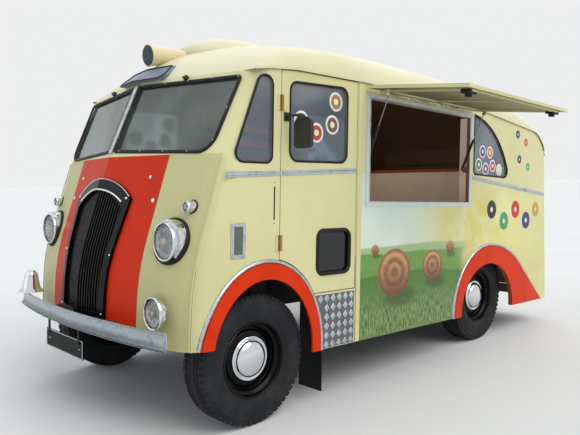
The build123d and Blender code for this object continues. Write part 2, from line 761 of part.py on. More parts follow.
def strut_tube(x):
    """The gas strut's tube, with its foot eye."""
    tube = Pos(0, 0, 14) * Cylinder(STRUT_TUBE_RADIUS, STRUT_TUBE_LENGTH - 14, align=(Align.CENTER, Align.CENTER, Align.MIN))
    bore = Pos(0, 0, 30) * Cylinder(STRUT_ROD_RADIUS + STRUT_CLEARANCE, STRUT_TUBE_LENGTH,
                                    align=(Align.CENTER, Align.CENTER, Align.MIN))
    eye = Rot(0, 90, 0) * (Cylinder(STRUT_EYE_RADIUS, 10) - Cylinder(STRUT_PIN + STRUT_CLEARANCE, 20))
    neck = block((-4, -4, STRUT_EYE_RADIUS - 2), (4, 4, 16))
    return strut_place(x) * (tube - bore + eye + neck)


def strut_rod(x):
    """The bright rod and its head eye."""
    rod = Pos(0, 0, STRUT_TUBE_LENGTH - 30) * Cylinder(STRUT_ROD_RADIUS, STRUT_LENGTH - STRUT_TUBE_LENGTH + 30 - 7,
                                                      align=(Align.CENTER, Align.CENTER, Align.MIN))
    eye = Pos(0, 0, STRUT_LENGTH) * Rot(0, 90, 0) * (Cylinder(STRUT_EYE_RADIUS, 8) - Cylinder(STRUT_PIN + 1, 20))
    return strut_place(x) * (rod + eye)


def strut_foot_pins():
    """Pins that carry the struts' feet, let into the frame's jambs."""
    pieces = []
    for x, jamb in ((STRUT_XS["front"], HATCH_FRONT_X - HATCH_FRAME), (STRUT_XS["rear"], HATCH_REAR_X + HATCH_FRAME)):
        toward = 1 if jamb > x else -1
        low, high = sorted((x - toward * 7, jamb + toward * 22))
        pin = Pos((low + high) / 2, *STRUT_FOOT) * Rot(0, 90, 0) * Cylinder(STRUT_PIN, high - low)
        plate_low, plate_high = sorted((jamb, jamb + toward * 22))
        plate = block((plate_low, STRUT_FOOT[0] - 14, STRUT_FOOT[1] - 22),
                      (plate_high, HALF_WIDTH - WALL, STRUT_FOOT[1] + 22))
        pieces.append(pin + plate)
    return pieces


def strut_head_brackets():
    """Brackets under the open hatch, beside the rods' eyes."""
    pieces = []
    for x, toward in ((STRUT_XS["front"], 1), (STRUT_XS["rear"], -1)):
        x_low, x_high = sorted((x + toward * 9.5, x + toward * 14.5))
        plate = block((x_low, HATCH_INNER_Y - STRUT_DROP - 10, HATCH_HINGE_Z - STRUT_REACH - 12),
                      (x_high, HATCH_INNER_Y + 1, HATCH_HINGE_Z - STRUT_REACH + 12))
        pieces.append(open_hatch(plate))
    return pieces


CATCH_XS = [-1030, -2170]


def hatch_catches():
    """Two closing catches under the outer edge of the hatch."""
    pieces = []
    for x in CATCH_XS:
        low_z = HATCH_HINGE_Z - HATCH_REACH + 34
        body = block((x - 42, HATCH_INNER_Y - 26, low_z), (x + 42, HATCH_INNER_Y - SEAT_GAP, low_z + 60))
        hook = block((x - 12, HATCH_INNER_Y - 44, low_z + 12), (x + 12, HATCH_INNER_Y - 25, low_z + 48))
        pieces.append(open_hatch(body + hook))
    return pieces


# Wheels, drawn about Y with the outside towards +Y

BEAD_HALF = 70
BULGE_HALF = 95
TREAD_HALF = 72
CARCASS = 14
FLANGE = 4


def dome_middle(radius, rise):
    """The middle point (radius, height) of a round dome's outline."""
    ball = (radius ** 2 + rise ** 2) / (2 * rise)
    half_angle = asin(radius / ball) / 2
    return ball * sin(half_angle), ball * cos(half_angle) - ball + rise


def about_axle(profile):
    """Turns a profile drawn in (y, radius) about the axle."""
    return revolve(Plane(origin=(0, 0, 0), x_dir=(0, 1, 0), z_dir=(1, 0, 0)) * profile, Axis.Y)


def tyre():
    """A cross-ply tyre, open to the rim, its tread left plain."""
    bead = RIM_RADIUS + SEAT_GAP
    belly = (BULGE_HALF, 296)
    shoulder = (TREAD_HALF + 12, 357)
    edge = (TREAD_HALF - 4, TYRE_RADIUS)

    def opposite(point):
        return (-point[0], point[1])

    start = (BEAD_HALF, bead + 14)
    side = ThreePointArc(start, belly, shoulder)
    turn = ThreePointArc(shoulder, (TREAD_HALF + 6, 371), edge)
    far_side = ThreePointArc(opposite(start), opposite(belly), opposite(shoulder))
    far_turn = ThreePointArc(opposite(shoulder), (-TREAD_HALF - 6, 371), opposite(edge))
    inside = [(BEAD_HALF - 18, bead), (BULGE_HALF - CARCASS, 296), (TREAD_HALF - 4, TYRE_RADIUS - CARCASS - 4)]
    run = [(BEAD_HALF, bead), *inside]
    back = [opposite(point) for point in reversed(run)]
    ring = Polyline(start, *run, *back, opposite(start))
    return about_axle(outline(side, turn, Line(edge, opposite(edge)), far_turn, far_side, *ring.edges()))


DISC = 6
SPINDLE_RADIUS = HUB_BORE - RUNNING_CLEARANCE
HUB_RADIUS = 68


def rim_and_cap():
    """The steel wheel with its hub, and its domed hub cap."""
    half = RIM_WIDTH / 2
    seat = half - HUB_CAP_SET_IN
    low = RIM_RADIUS - DISC
    high = RIM_RADIUS + FLANGE_HEIGHT
    barrel = about_axle(polygon((-half, low), (-half, high), (-half + FLANGE, high), (-half + FLANGE, RIM_RADIUS),
                                (half - FLANGE, RIM_RADIUS), (half - FLANGE, high), (half, high), (half, low)))
    bowl = [(20, low + 1), (seat - 14, 168), (seat - 1, 140), (seat - 1, HUB_RADIUS - 2)]
    inner = [(y - DISC, r) for y, r in reversed(bowl)]
    disc = about_axle(polygon(*bowl, *inner))
    hub = about_axle(polygon((-34, HUB_BORE), (-34, HUB_RADIUS), (seat - 1, HUB_RADIUS), (seat - 1, HUB_BORE)))
    cap_y = seat - 1 + SEAT_GAP
    top = cap_y + HUB_CAP_RISE
    out_r, out_y = dome_middle(HUB_CAP_RADIUS, HUB_CAP_RISE)
    in_r, in_y = dome_middle(HUB_CAP_RADIUS - 6, HUB_CAP_RISE - 4)
    dome = ThreePointArc((cap_y, HUB_CAP_RADIUS), (cap_y + out_y, out_r), (top, 0))
    hollow = ThreePointArc((top - 4, 0), (cap_y + in_y, in_r), (cap_y, HUB_CAP_RADIUS - 6))
    cap = about_axle(outline(dome, Line((top, 0), (top - 4, 0)), hollow,
                             Line((cap_y, HUB_CAP_RADIUS - 6), (cap_y, HUB_CAP_RADIUS))))
    return [barrel + disc + hub, cap]


FRONT_WHEEL_Y = FRONT_TRACK / 2
REAR_WHEEL_Y = REAR_TRACK / 2
KINGPIN_Y = FRONT_WHEEL_Y - KINGPIN_INSET
BOSS_RADIUS = 26
BOSS_HALF = 30
EAR = 18
EAR_GAP = 0.5


def front_axle():
    """A beam with an upright boss at each end for the kingpins."""
    beam = block((FRONT_AXLE_X - 25, 0, FRONT_AXLE_Z - 30), (FRONT_AXLE_X + 25, KINGPIN_Y, FRONT_AXLE_Z + 30))
    boss = Pos(FRONT_AXLE_X, KINGPIN_Y, FRONT_AXLE_Z) * Cylinder(BOSS_RADIUS, 2 * BOSS_HALF)
    half = beam + boss
    half = half - Pos(FRONT_AXLE_X, KINGPIN_Y, FRONT_AXLE_Z) * Cylinder(KINGPIN_RADIUS + RUNNING_CLEARANCE, 200)
    return half + right_hand(half)


def knuckle():
    """The left knuckle: kingpin, two ears, an upright web and the wheel's spindle."""
    top = BOSS_HALF + EAR_GAP
    pin = Cylinder(KINGPIN_RADIUS, 2 * (top + EAR))
    web_y = BOSS_RADIUS + 6
    piece = pin
    for side in (1, -1):
        ear = Pos(0, 0, side * (top + EAR / 2)) * Cylinder(BOSS_RADIUS, EAR)
        arm = block((-BOSS_RADIUS, 0, min(side * top, side * (top + EAR))),
                    (BOSS_RADIUS, web_y + 14, max(side * top, side * (top + EAR))))
        piece = piece + ear + arm
    piece = piece + block((-BOSS_RADIUS, web_y, -top - EAR), (BOSS_RADIUS, web_y + 14, top + EAR))
    spindle_end = KINGPIN_INSET + RIM_WIDTH / 2 - HUB_CAP_SET_IN + 10
    spindle = Rot(-90, 0, 0) * Cylinder(SPINDLE_RADIUS, spindle_end - web_y,
                                        align=(Align.CENTER, Align.CENTER, Align.MIN))
    piece = piece + Pos(0, web_y, 0) * spindle
    return Pos(FRONT_AXLE_X, KINGPIN_Y, FRONT_AXLE_Z) * piece


def rear_axle():
    """The axle tube with its final drive, and the propeller shaft to the engine."""
    end = REAR_WHEEL_Y + RIM_WIDTH / 2 - HUB_CAP_SET_IN + 10
    tube = Rot(90, 0, 0) * Cylinder(SPINDLE_RADIUS, 2 * end)
    casing = Rot(90, 0, 0) * Cylinder(42, 2 * (REAR_WHEEL_Y - 60))
    ball = Sphere(125)
    axle = Pos(REAR_AXLE_X, 0, REAR_AXLE_Z) * (tube + casing + ball)
    shaft = Pos(0, 0, REAR_AXLE_Z + 50) * block((REAR_AXLE_X + 60, -28, -28), (ENGINE_LOW[0] - 4, 28, 28))
    return axle + shaft


RAIL_Y = 400
RAIL_HALF = 30
RAIL_LOW_Z = 500
RAIL_HIGH_Z = FLOOR_Z - FLOOR_THICKNESS - SEAT_GAP
CROSS_XS = [400, -760, -1500, -2200, -3000, -3600]


def chassis_frame():
    """Two box rails tied by crossmembers."""
    frame = block((-3640, RAIL_Y - RAIL_HALF, RAIL_LOW_Z), (440, RAIL_Y + RAIL_HALF, RAIL_HIGH_Z))
    frame = frame + right_hand(frame)
    for x in CROSS_XS:
        frame = frame + block((x - 30, -RAIL_Y, RAIL_HIGH_Z - 60), (x + 30, RAIL_Y, RAIL_HIGH_Z))
    return frame


SPRING_HALF_LENGTH = 430
SPRING_THICKNESS = 28


def leaf_spring(x, low_z):
    """A bowed spring pack under the left rail, with a hanger at each end."""
    ends = RAIL_LOW_Z - 34
    low = ThreePointArc((x - SPRING_HALF_LENGTH, ends), (x, low_z), (x + SPRING_HALF_LENGTH, ends))
    high = ThreePointArc((x + SPRING_HALF_LENGTH, ends + SPRING_THICKNESS), (x, low_z + SPRING_THICKNESS),
                         (x - SPRING_HALF_LENGTH, ends + SPRING_THICKNESS))
    pack = outline(low, Line(low @ 1, high @ 0), high, Line(high @ 1, low @ 0))
    spring = prism(pack, RAIL_Y - 28, RAIL_Y + 28)
    for side in (1, -1):
        end_x = x + side * (SPRING_HALF_LENGTH - 24)
        spring = spring + block((end_x - 24, RAIL_Y - 28, ends + 4), (end_x + 24, RAIL_Y + 28, RAIL_LOW_Z - SEAT_GAP))
    return spring


ENGINE_LOW = (-350, -250, 450)
ENGINE_HIGH = (300, 250, 1000)
COVER_WALL = 15
WHEELBOX_WALL = 12
WHEELBOX_INNER_Y = 500
WHEELBOX_ENDS = (-492, 387)
WHEELBOX_TOP_Z = 800
REAR_BOX_INNER_Y = 660
REAR_BOX_ENDS = (-3035, -2155)
REAR_BOX_TOP_Z = 880
FLOOR_EDGE_Y = HALF_WIDTH - WALL - 1


def engine_cover():
    """A box over the engine between the seats."""
    outer = block((-450, -285, FLOOR_Z + SEAT_GAP), (360, 285, 1055))
    return outer - block((-450 + COVER_WALL, -270, 0), (360 - COVER_WALL, 270, 1055 - COVER_WALL))


def floor():
    """The floor with a box over each wheel, open where the engine stands."""
    low = FLOOR_Z - FLOOR_THICKNESS
    plate = block((-3690, 0, low), (470, FLOOR_EDGE_Y, FLOOR_Z)) & FLOOR_SPACE
    wells = []
    for ends, inner_y, top in ((WHEELBOX_ENDS, WHEELBOX_INNER_Y, WHEELBOX_TOP_Z),
                               (REAR_BOX_ENDS, REAR_BOX_INNER_Y, REAR_BOX_TOP_Z)):
        box = block((ends[0] - WHEELBOX_WALL, inner_y - WHEELBOX_WALL, low),
                    (ends[1] + WHEELBOX_WALL, FLOOR_EDGE_Y, top + WHEELBOX_WALL))
        plate = plate + (box & FLOOR_SPACE)
        wells.append(block((ends[0], inner_y, 0), (ends[1], 1000, top)))
    for well in wells:
        plate = plate - well
    plate = plate - block((ENGINE_LOW[0] - 20, -1, 0), (ENGINE_HIGH[0] + 20, ENGINE_HIGH[1] + 20, 1200))
    return plate + right_hand(plate)


def floor_space():
    """Room between the walls for the left half of the floor."""
    front = nose_half(-NOSE_WALL - 1, HALF_WIDTH - WALL - 1, CORNER_RADIUS - WALL) & block((-300, 0, 400), (700, 1000, 1200))
    rest = block((-3900, 0, 400), (-300, 1000, 1200)) - rear_strip(WALL + 6)
    return front + rest


FLOOR_SPACE = floor_space()


# Nose fittings

def grille():
    """Upright fins on three crossbars, following the nose."""
    opening = head_on(grille_outline(GRILLE_BORDER + 1, GRILLE_CROWN_BORDER + 1, GRILLE_BORDER + 1), 0, 900)
    fins = nose_slab(2, -20, 400) & opening
    bars = nose_slab(-18, -24, 400) & opening
    count = int((GRILLE_HALF_TOP - GRILLE_BORDER) / FIN_PITCH)
    columns = [block((0, i * FIN_PITCH - FIN_WIDTH / 2, 400), (900, i * FIN_PITCH + FIN_WIDTH / 2, 1500))
               for i in range(-count, count + 1)]
    rows = [block((0, -400, z - 9), (900, 400, z + 9)) for z in (GRILLE_FOOT_Z + GRILLE_BORDER + 12, 860, 1140)]
    half_fins = fins & Compound(children=columns)
    half_bars = bars & Compound(children=rows)
    left = half_fins + half_bars
    return left + right_hand(left)


def grille_surround():
    """The bright frame round the grille."""
    slab = nose_slab(GRILLE_PROUD, SEAT_GAP, 500)
    ring = grille_outline() - grille_outline(GRILLE_BORDER, GRILLE_CROWN_BORDER, GRILLE_BORDER)
    half = slab & head_on(ring, 0, 900)
    return half + right_hand(half)


BUMPER_X = 650
BUMPER_END = (560, 935)
BUMPER_LOW_Z = 467
BUMPER_HIGH_Z = 567
BUMPER_THICKNESS = 14


def front_bumper():
    """A bowed blade on two brackets."""
    ends = [(BUMPER_END[0], BUMPER_END[1]), (BUMPER_END[0], -BUMPER_END[1])]
    back = [(x - BUMPER_THICKNESS, y) for x, y in ends]
    face = outline(ThreePointArc(ends[0], (BUMPER_X, 0), ends[1]), Line(ends[1], back[1]),
                   ThreePointArc(back[1], (BUMPER_X - BUMPER_THICKNESS, 0), back[0]), Line(back[0], ends[0]))
    blade = upright(face, BUMPER_LOW_Z, BUMPER_HIGH_Z)
    outer = blade.faces().sort_by(Axis.X)[-1].edges().filter_by(GeomType.CIRCLE)
    blade = fillet(outer, 6)
    stub = block((480, RAIL_Y - 22, 495), (BUMPER_X - 26, RAIL_Y + 22, 540)) - nose_half(SEAT_GAP, HALF_WIDTH, CORNER_RADIUS)
    return blade + stub + right_hand(stub)


def on_nose(shape):
    """Keeps only what stands outside the left half of the nose."""
    return shape - nose_half(SEAT_GAP, HALF_WIDTH, CORNER_RADIUS)


def rod_x(radius, x_low, x_high, y, z):
    """A round bar along X."""
    return Pos((x_low + x_high) / 2, y, z) * Rot(0, 90, 0) * Cylinder(radius, x_high - x_low)


def lens(radius, x, y, z, bulge):
    """A domed glass, flat behind."""
    edge = 4
    middle_r, middle_z = dome_middle(radius, bulge)
    profile = outline(Line((0, 0), (radius, 0)), Line((radius, 0), (radius, edge)),
                      ThreePointArc((radius, edge), (middle_r, edge + middle_z), (0, edge + bulge)),
                      Line((0, edge + bulge), (0, 0)))
    return Pos(x, y, z) * Rot(0, 90, 0) * revolve(Plane.XZ * profile, Axis.Z)


# Columns: name, y, z, base radius, rim radius, lens radius, base face x, rim face x, bulge
LAMPS = [
    ("headlamp", 741, 1004, 118, 105, 95, 436, 462, 16),
    ("sidelamp", 824, 1190, 34, 30, 25, 364, 380, 14),
    ("fog_lamp", 735, 628, 62, 88, 78, 500, 524, 12),
]
LENS_DEPTH = 14


def lamp(row):
    """One lamp's body and its glass."""
    _, y, z, base, rim, glass, base_x, rim_x, bulge = row
    body = on_nose(rod_x(base, base_x - 190, base_x, y, z) + rod_x(rim, base_x - 6, rim_x, y, z))
    body = body - rod_x(glass + SEAT_GAP, rim_x - LENS_DEPTH, rim_x + 20, y, z)
    return body, lens(glass, rim_x - LENS_DEPTH + SEAT_GAP, y, z, bulge + 6)


BELL_PLACE = (592, -720, 576)
BELL_RADIUS = 88
BELL_HEIGHT = 150
BELL_WALL = 5


def bell():
    """A hollow bell standing on a stem from the bumper's far end."""
    outer = [(BELL_RADIUS, 0), (BELL_RADIUS - 27, 22), (BELL_RADIUS - 44, 104), (6, BELL_HEIGHT)]
    inner = [(BELL_RADIUS - 7, 0), (BELL_RADIUS - 33, 22), (BELL_RADIUS - 50, 100), (6, BELL_HEIGHT - BELL_WALL)]
    side = Line(outer[0], outer[1])
    waist = Line(outer[1], outer[2])
    crown = ThreePointArc(outer[2], (30, BELL_HEIGHT - 13), outer[3])
    under = ThreePointArc(inner[3], (26, BELL_HEIGHT - 19), inner[2])
    profile = outline(side, waist, crown, Line(outer[3], inner[3]), under, Line(inner[2], inner[1]),
                      Line(inner[1], inner[0]), Line(inner[0], outer[0]))
    shell = revolve(Plane.XZ * profile, Axis.Z)
    drop = BELL_PLACE[2] - BUMPER_HIGH_Z - SEAT_GAP
    stem = Pos(0, 0, -drop) * Cylinder(8, drop + BELL_HEIGHT - 2, align=(Align.CENTER, Align.CENTER, Align.MIN))
    return Pos(*BELL_PLACE) * (shell + stem)


def number_plates():
    """Blank plates, in front below the bumper and behind below the doors."""
    front = block((596, -430, 262), (602, 95, 376))
    hangers = [block((602, y - 12, 350), (608, y + 12, BUMPER_LOW_Z - SEAT_GAP)) for y in (-380, 45)]
    hangers = [hanger + block((604, y - 12, BUMPER_LOW_Z - 12), (640, y + 12, BUMPER_LOW_Z - SEAT_GAP))
               for hanger, y in zip(hangers, (-380, 45))]
    for hanger in hangers:
        front = front + hanger
    rear = block((-4, -260, 0), (0, 260, 110))
    foot = 292
    rear = Pos(rear_x(foot) - SEAT_GAP, 0, foot) * Rot(0, degrees(atan2(REAR_LEAN, 1)), 0) * rear
    return [front, rear]


SPEAKER_FACE = (125, 2150)
SPEAKER_BACK = (-190, 2196)


def loudspeaker():
    """A cone with its mouth facing forward, its tail let into the roof."""
    run = hypot(SPEAKER_FACE[0] - SPEAKER_BACK[0], SPEAKER_FACE[1] - SPEAKER_BACK[1])
    tilt = degrees(atan2(SPEAKER_FACE[1] - SPEAKER_BACK[1], SPEAKER_FACE[0] - SPEAKER_BACK[0]))
    horn = Cone(34, 69, run, align=(Align.CENTER, Align.CENTER, Align.MIN)) - Pos(0, 0, run - 16) * Cylinder(60, 40)
    horn = Pos(SPEAKER_BACK[0], 0, SPEAKER_BACK[1]) * Rot(0, 90 - tilt, 0) * horn
    filled = roof_form(0)
    foot = block((-40, -22, 2040), (30, 22, 2140))
    return (horn + foot) - filled - right_hand(filled) - fairing_dome(SEAT_GAP)


def sign_board():
    """The blank V-shaped header board over the windscreen."""
    face = polygon((190, 1962), (236, 1962), (120, 2062), (74, 2062))
    board = prism(face, 0, 262, -NOSE_V)
    board = board & head_on(rounded([(-1, 1962), (-1, 2062), (238, 2062), (262, 1990), (238, 1962)],
                                    [0.5, 0.5, 18, 18, 18]), -100, 400)
    board = board - roof_form(0)
    return board + right_hand(board)


def arch_band(front):
    """The orange band round a left wheel arch."""
    if front:
        ring = front_arch(FRONT_ARCH_BAND, SILL_Z) - front_arch(0, SILL_Z - 20)
    else:
        ring = rear_arch_outer() - rear_arch_inner() - side_region(-1900, -3800, -100, SILL_Z)
    flat = prism(ring, HALF_WIDTH + SEAT_GAP, HALF_WIDTH + BAND_PROUD)
    if not front:
        return flat
    skin = (nose_half(BAND_PROUD, HALF_WIDTH + BAND_PROUD, CORNER_RADIUS + BAND_PROUD)
            - nose_half(SEAT_GAP, HALF_WIDTH + SEAT_GAP, CORNER_RADIUS + SEAT_GAP))
    bent = skin & prism(ring, 600, 1100) & block((0, 0, 0), (900, 1100, 1200))
    return (flat & block((-900, 0, 0), (0, 1100, 1200))) + bent


def chequer_plate():
    """The tread plate under the left door."""
    region = side_region(-521, DOOR_REAR_X - DOOR_GAP, SILL_Z + 10, DOOR_SILL_Z - DOOR_GAP - 2)
    region = region - front_arch(FRONT_ARCH_BAND + ARCH_STRIP + 4)
    return prism(region, HALF_WIDTH + SEAT_GAP, HALF_WIDTH + 3)


# Interior

SEAT_CENTRE_Y = 590
SEAT_HALF = 210


def seat():
    """The left seat: a frame, a cushion and a back."""
    low = WHEELBOX_TOP_Z + WHEELBOX_WALL + SEAT_GAP
    side = (SEAT_CENTRE_Y - SEAT_HALF, SEAT_CENTRE_Y + SEAT_HALF)
    frame = block((-440, 520, low), (-110, side[1] - 20, low + 40))
    cushion = fillet(block((-470, side[0], low + 40), (-60, side[1], low + 130)).edges(), 22)
    back = fillet(block((-570, side[0], low + 60), (-470, side[1], low + 560)).edges(), 22)
    return frame + cushion + back


STEERING_HUB = (70, -455, 1270)
COLUMN_FOOT = (395, -455, FLOOR_Z + SEAT_GAP)
STEERING_RADIUS = 205


def steering_wheel():
    """The driver's wheel on its raked column."""
    run = Vector(*STEERING_HUB) - Vector(*COLUMN_FOOT)
    place = Plane(origin=STEERING_HUB, x_dir=(0, 1, 0), z_dir=run.normalized()).location
    ring = Torus(STEERING_RADIUS, 13)
    spokes = [Rot(0, 0, angle) * Pos(STEERING_RADIUS / 2, 0, 0) * Box(STEERING_RADIUS, 26, 8) for angle in (90, 210, 330)]
    hub = Cylinder(34, 26)
    column = Pos(0, 0, -run.length / 2) * Cylinder(20, run.length)
    wheel = ring + hub + column
    for spoke in spokes:
        wheel = wheel + spoke
    return (place * wheel) - block((300, -600, 0), (500, -400, FLOOR_Z + SEAT_GAP))


SHELF_Z = 1190
SHELF_THICKNESS = 30
PANEL = 18
COUNTER_FRONT_X = -2620
COUNTER_REAR_X = -3300
COUNTER_TOP_Z = 1480


def counters():
    """The serving shelf over its cupboard, and the counter across the back."""
    shelf = block((-2245, 640, SHELF_Z), (-950, FLOOR_EDGE_Y - 4, SHELF_Z + SHELF_THICKNESS))
    cupboard = block((-2140, 660, FLOOR_Z + SEAT_GAP), (-1000, FLOOR_EDGE_Y - 4, SHELF_Z))
    cupboard = cupboard - block((-2140 + PANEL, 660 + PANEL, 0), (-1000 - PANEL, 1000, SHELF_Z))
    low = REAR_BOX_TOP_Z + WHEELBOX_WALL + SEAT_GAP
    cabinet = block((COUNTER_REAR_X, -900, low), (COUNTER_FRONT_X, 900, COUNTER_TOP_Z))
    cabinet = cabinet - block((COUNTER_REAR_X - 10, -900 + PANEL, low + PANEL),
                              (COUNTER_FRONT_X - PANEL, 900 - PANEL, COUNTER_TOP_Z - SHELF_THICKNESS))
    plinth_y = REAR_BOX_INNER_Y - WHEELBOX_WALL - 10
    plinth = block((COUNTER_REAR_X, -plinth_y, FLOOR_Z + SEAT_GAP), (COUNTER_FRONT_X, plinth_y, low + PANEL))
    plinth = plinth - block((COUNTER_REAR_X - 10, -plinth_y + PANEL, 0), (COUNTER_FRONT_X - PANEL, plinth_y - PANEL, low))
    return [shelf + cupboard, cabinet + plinth]


MIRROR_CENTRE = (-250, 1062, 1612)
MIRROR_HALF = (11, 68, 84)


def door_mirror():
    """The left door mirror on its bent arm."""
    x, y, z = MIRROR_CENTRE
    head = block((x - MIRROR_HALF[0], y - MIRROR_HALF[1], z - MIRROR_HALF[2]),
                 (x + MIRROR_HALF[0], y + MIRROR_HALF[1], z + MIRROR_HALF[2]))
    head = fillet(head.edges().filter_by(Axis.X), 30)
    pad = block((-225, HALF_WIDTH + SEAT_GAP, 1684), (-189, HALF_WIDTH + 8, 1734))
    out = Pos(-207, (HALF_WIDTH + 4 + y) / 2, 1712) * Rot(90, 0, 0) * Cylinder(7, y - HALF_WIDTH - 4)
    knee = Pos(-207, y, 1712) * Sphere(9)
    down = block((-250, y - 6, 1690), (-207, y + 6, 1718)) + block((-256, y - 6, 1680), (-244, y + 6, 1718))
    return head + pad + out + knee + down


def mud_flap():
    """The flap behind the left front wheel."""
    return block((-606, 702, 22), (-600, 902, FLOOR_Z - FLOOR_THICKNESS - SEAT_GAP))


def rear_lamp():
    """A round red lamp on the left of the rear sill."""
    z = 357
    body = Cylinder(34, 26, align=(Align.CENTER, Align.CENTER, Align.MIN)) + Pos(0, 0, 26) * Cylinder(30, 8)
    return Plane(origin=(rear_x(z) - SEAT_GAP, 780, z), x_dir=(0, 1, 0), z_dir=(-1, 0, REAR_LEAN)).location * body


# Assembly

def joined(*pieces):
    """One solid from pieces that touch."""
    whole = pieces[0]
    for piece in pieces[1:]:
        whole = whole + piece
    return whole


def build_nodes():
    """Every piece of the van in its body frame, by name."""
    nodes = {}
    nodes["chassis_frame"] = [chassis_frame()]
    nodes["engine"] = [block(ENGINE_LOW, ENGINE_HIGH)]
    nodes["engine_cover"] = [engine_cover()]
    nodes["front_axle"] = [front_axle()]
    nodes["rear_axle"] = [rear_axle()]
    front_spring = leaf_spring(FRONT_AXLE_X, FRONT_AXLE_Z + 30 + SEAT_GAP)
    rear_spring = leaf_spring(REAR_AXLE_X, REAR_AXLE_Z - 42 - SPRING_THICKNESS - SEAT_GAP)
    nodes["leaf_springs"] = [*both(front_spring), *both(rear_spring)]
    nodes["floor"] = [floor()]
    nodes["nose_panel"] = [nose_panel()]
    nodes["windscreen_surround"] = windscreen_surround()
    nodes["fixed_glass"] = [*windscreen_glass(), *both(side_glass(quarter_window)), *both(side_glass(teardrop_window))]
    nodes["grille"] = [grille()]
    nodes["grille_surround"] = [grille_surround()]
    fixed_hinges, moving_hinges = door_hinges()
    cab = joined(cab_side(), *fixed_hinges)
    leaf = joined(door(), *moving_hinges)
    nodes["left_cab_side"] = [cab]
    nodes["right_cab_side"] = [right_hand(cab)]
    nodes["left_door"] = [leaf]
    nodes["right_door"] = [right_hand(leaf)]
    panes = [side_glass(door_window), side_glass(door_lower_window)]
    nodes["left_door_glass"] = panes
    nodes["right_door_glass"] = [right_hand(pane) for pane in panes]
    nodes["left_mirror"] = [door_mirror()]
    nodes["right_mirror"] = [right_hand(door_mirror())]
    nodes["left_side"] = [joined(side_panel(True), *hatch_hinge_fixed(), *strut_foot_pins())]
    nodes["right_side"] = [right_hand(side_panel(False))]
    nodes["roof"] = roof()
    nodes["roof_fairing"] = roof_fairing()
    fixed_rear, moving_rear = rear_hinges()
    frame = rear_panel()
    for piece in fixed_rear:
        frame = frame + piece + right_hand(piece)
    nodes["rear_panel"] = [frame]
    rear_leaf = joined(rear_door(), *moving_rear)
    nodes["left_rear_door"] = [rear_leaf]
    nodes["right_rear_door"] = [right_hand(rear_leaf)]
    nodes["arch_bands"] = [*both(arch_band(True)), *both(arch_band(False))]
    nodes["chequer_plates"] = both(chequer_plate())
    nodes["hatch_frame"] = [hatch_frame()]
    nodes["hatch"] = [joined(hatch_panel(), *strut_head_brackets())]
    nodes["hatch_catches"] = hatch_catches()
    nodes["strut_tubes"] = [strut_tube(x) for x in STRUT_XS.values()]
    nodes["strut_rods"] = [strut_rod(x) for x in STRUT_XS.values()]
    nodes["front_bumper"] = [front_bumper()]
    bodies, lenses = [], []
    for row in LAMPS:
        body, glass = lamp(row)
        pair = row[0] != "fog_lamp"
        bodies += both(body) if pair else [body]
        lenses += both(glass) if pair else [glass]
    nodes["lamp_bodies"] = bodies
    nodes["lamp_lenses"] = lenses
    nodes["bell"] = [bell()]
    nodes["number_plates"] = number_plates()
    nodes["loudspeaker"] = [loudspeaker()]
    nodes["sign_board"] = [sign_board()]
    nodes["counters"] = counters()
    nodes["seats"] = both(seat())
    nodes["steering_wheel"] = [steering_wheel()]
    nodes["mud_flaps"] = both(mud_flap())
    nodes["rear_lamps"] = both(rear_lamp())
    nodes["left_knuckle"] = [knuckle()]
    nodes["right_knuckle"] = [right_hand(knuckle())]
    rubber = tyre()
    steel = rim_and_cap()
    for name, x, y, z in WHEEL_PLACES:
        place = Pos(x, y, z)
        nodes[name + "_tyre"] = [place * rubber]
        nodes[name + "_wheel"] = [place * piece for piece in steel]
        if y < 0:
            nodes[name + "_wheel"] = [place * right_hand(piece) for piece in steel]
    return nodes


# Columns: name, x, y, z
WHEEL_PLACES = [
    ("front_left", FRONT_AXLE_X, FRONT_WHEEL_Y, FRONT_AXLE_Z),
    ("front_right", FRONT_AXLE_X, -FRONT_WHEEL_Y, FRONT_AXLE_Z),
    ("rear_left", REAR_AXLE_X, REAR_WHEEL_Y, REAR_AXLE_Z),
    ("rear_right", REAR_AXLE_X, -REAR_WHEEL_Y, REAR_AXLE_Z),
]


def parked(nodes):
    """The shift that puts the turned van on Z = 0 with the origin under its middle."""
    tilt = Rot(0, -RAKE, 0)
    boxes = [(tilt * piece).bounding_box() for pieces in nodes.values() for piece in pieces]
    low = [min(getattr(box.min, axis) for box in boxes) for axis in "XYZ"]
    high = [max(getattr(box.max, axis) for box in boxes) for axis in "XYZ"]
    return Pos(-(low[0] + high[0]) / 2, -(low[1] + high[1]) / 2, -low[2]) * tilt


NODES = build_nodes()
PARKED = parked(NODES)
os.makedirs("parts", exist_ok=True)
for node_name, pieces in NODES.items():
    placed = [PARKED * piece for piece in pieces]
    shape = placed[0] if len(placed) == 1 else Compound(children=placed)
    export_step(shape, f"parts/{node_name}.step")
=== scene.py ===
import math

import bmesh
import bpy
from mathutils import Matrix, Vector


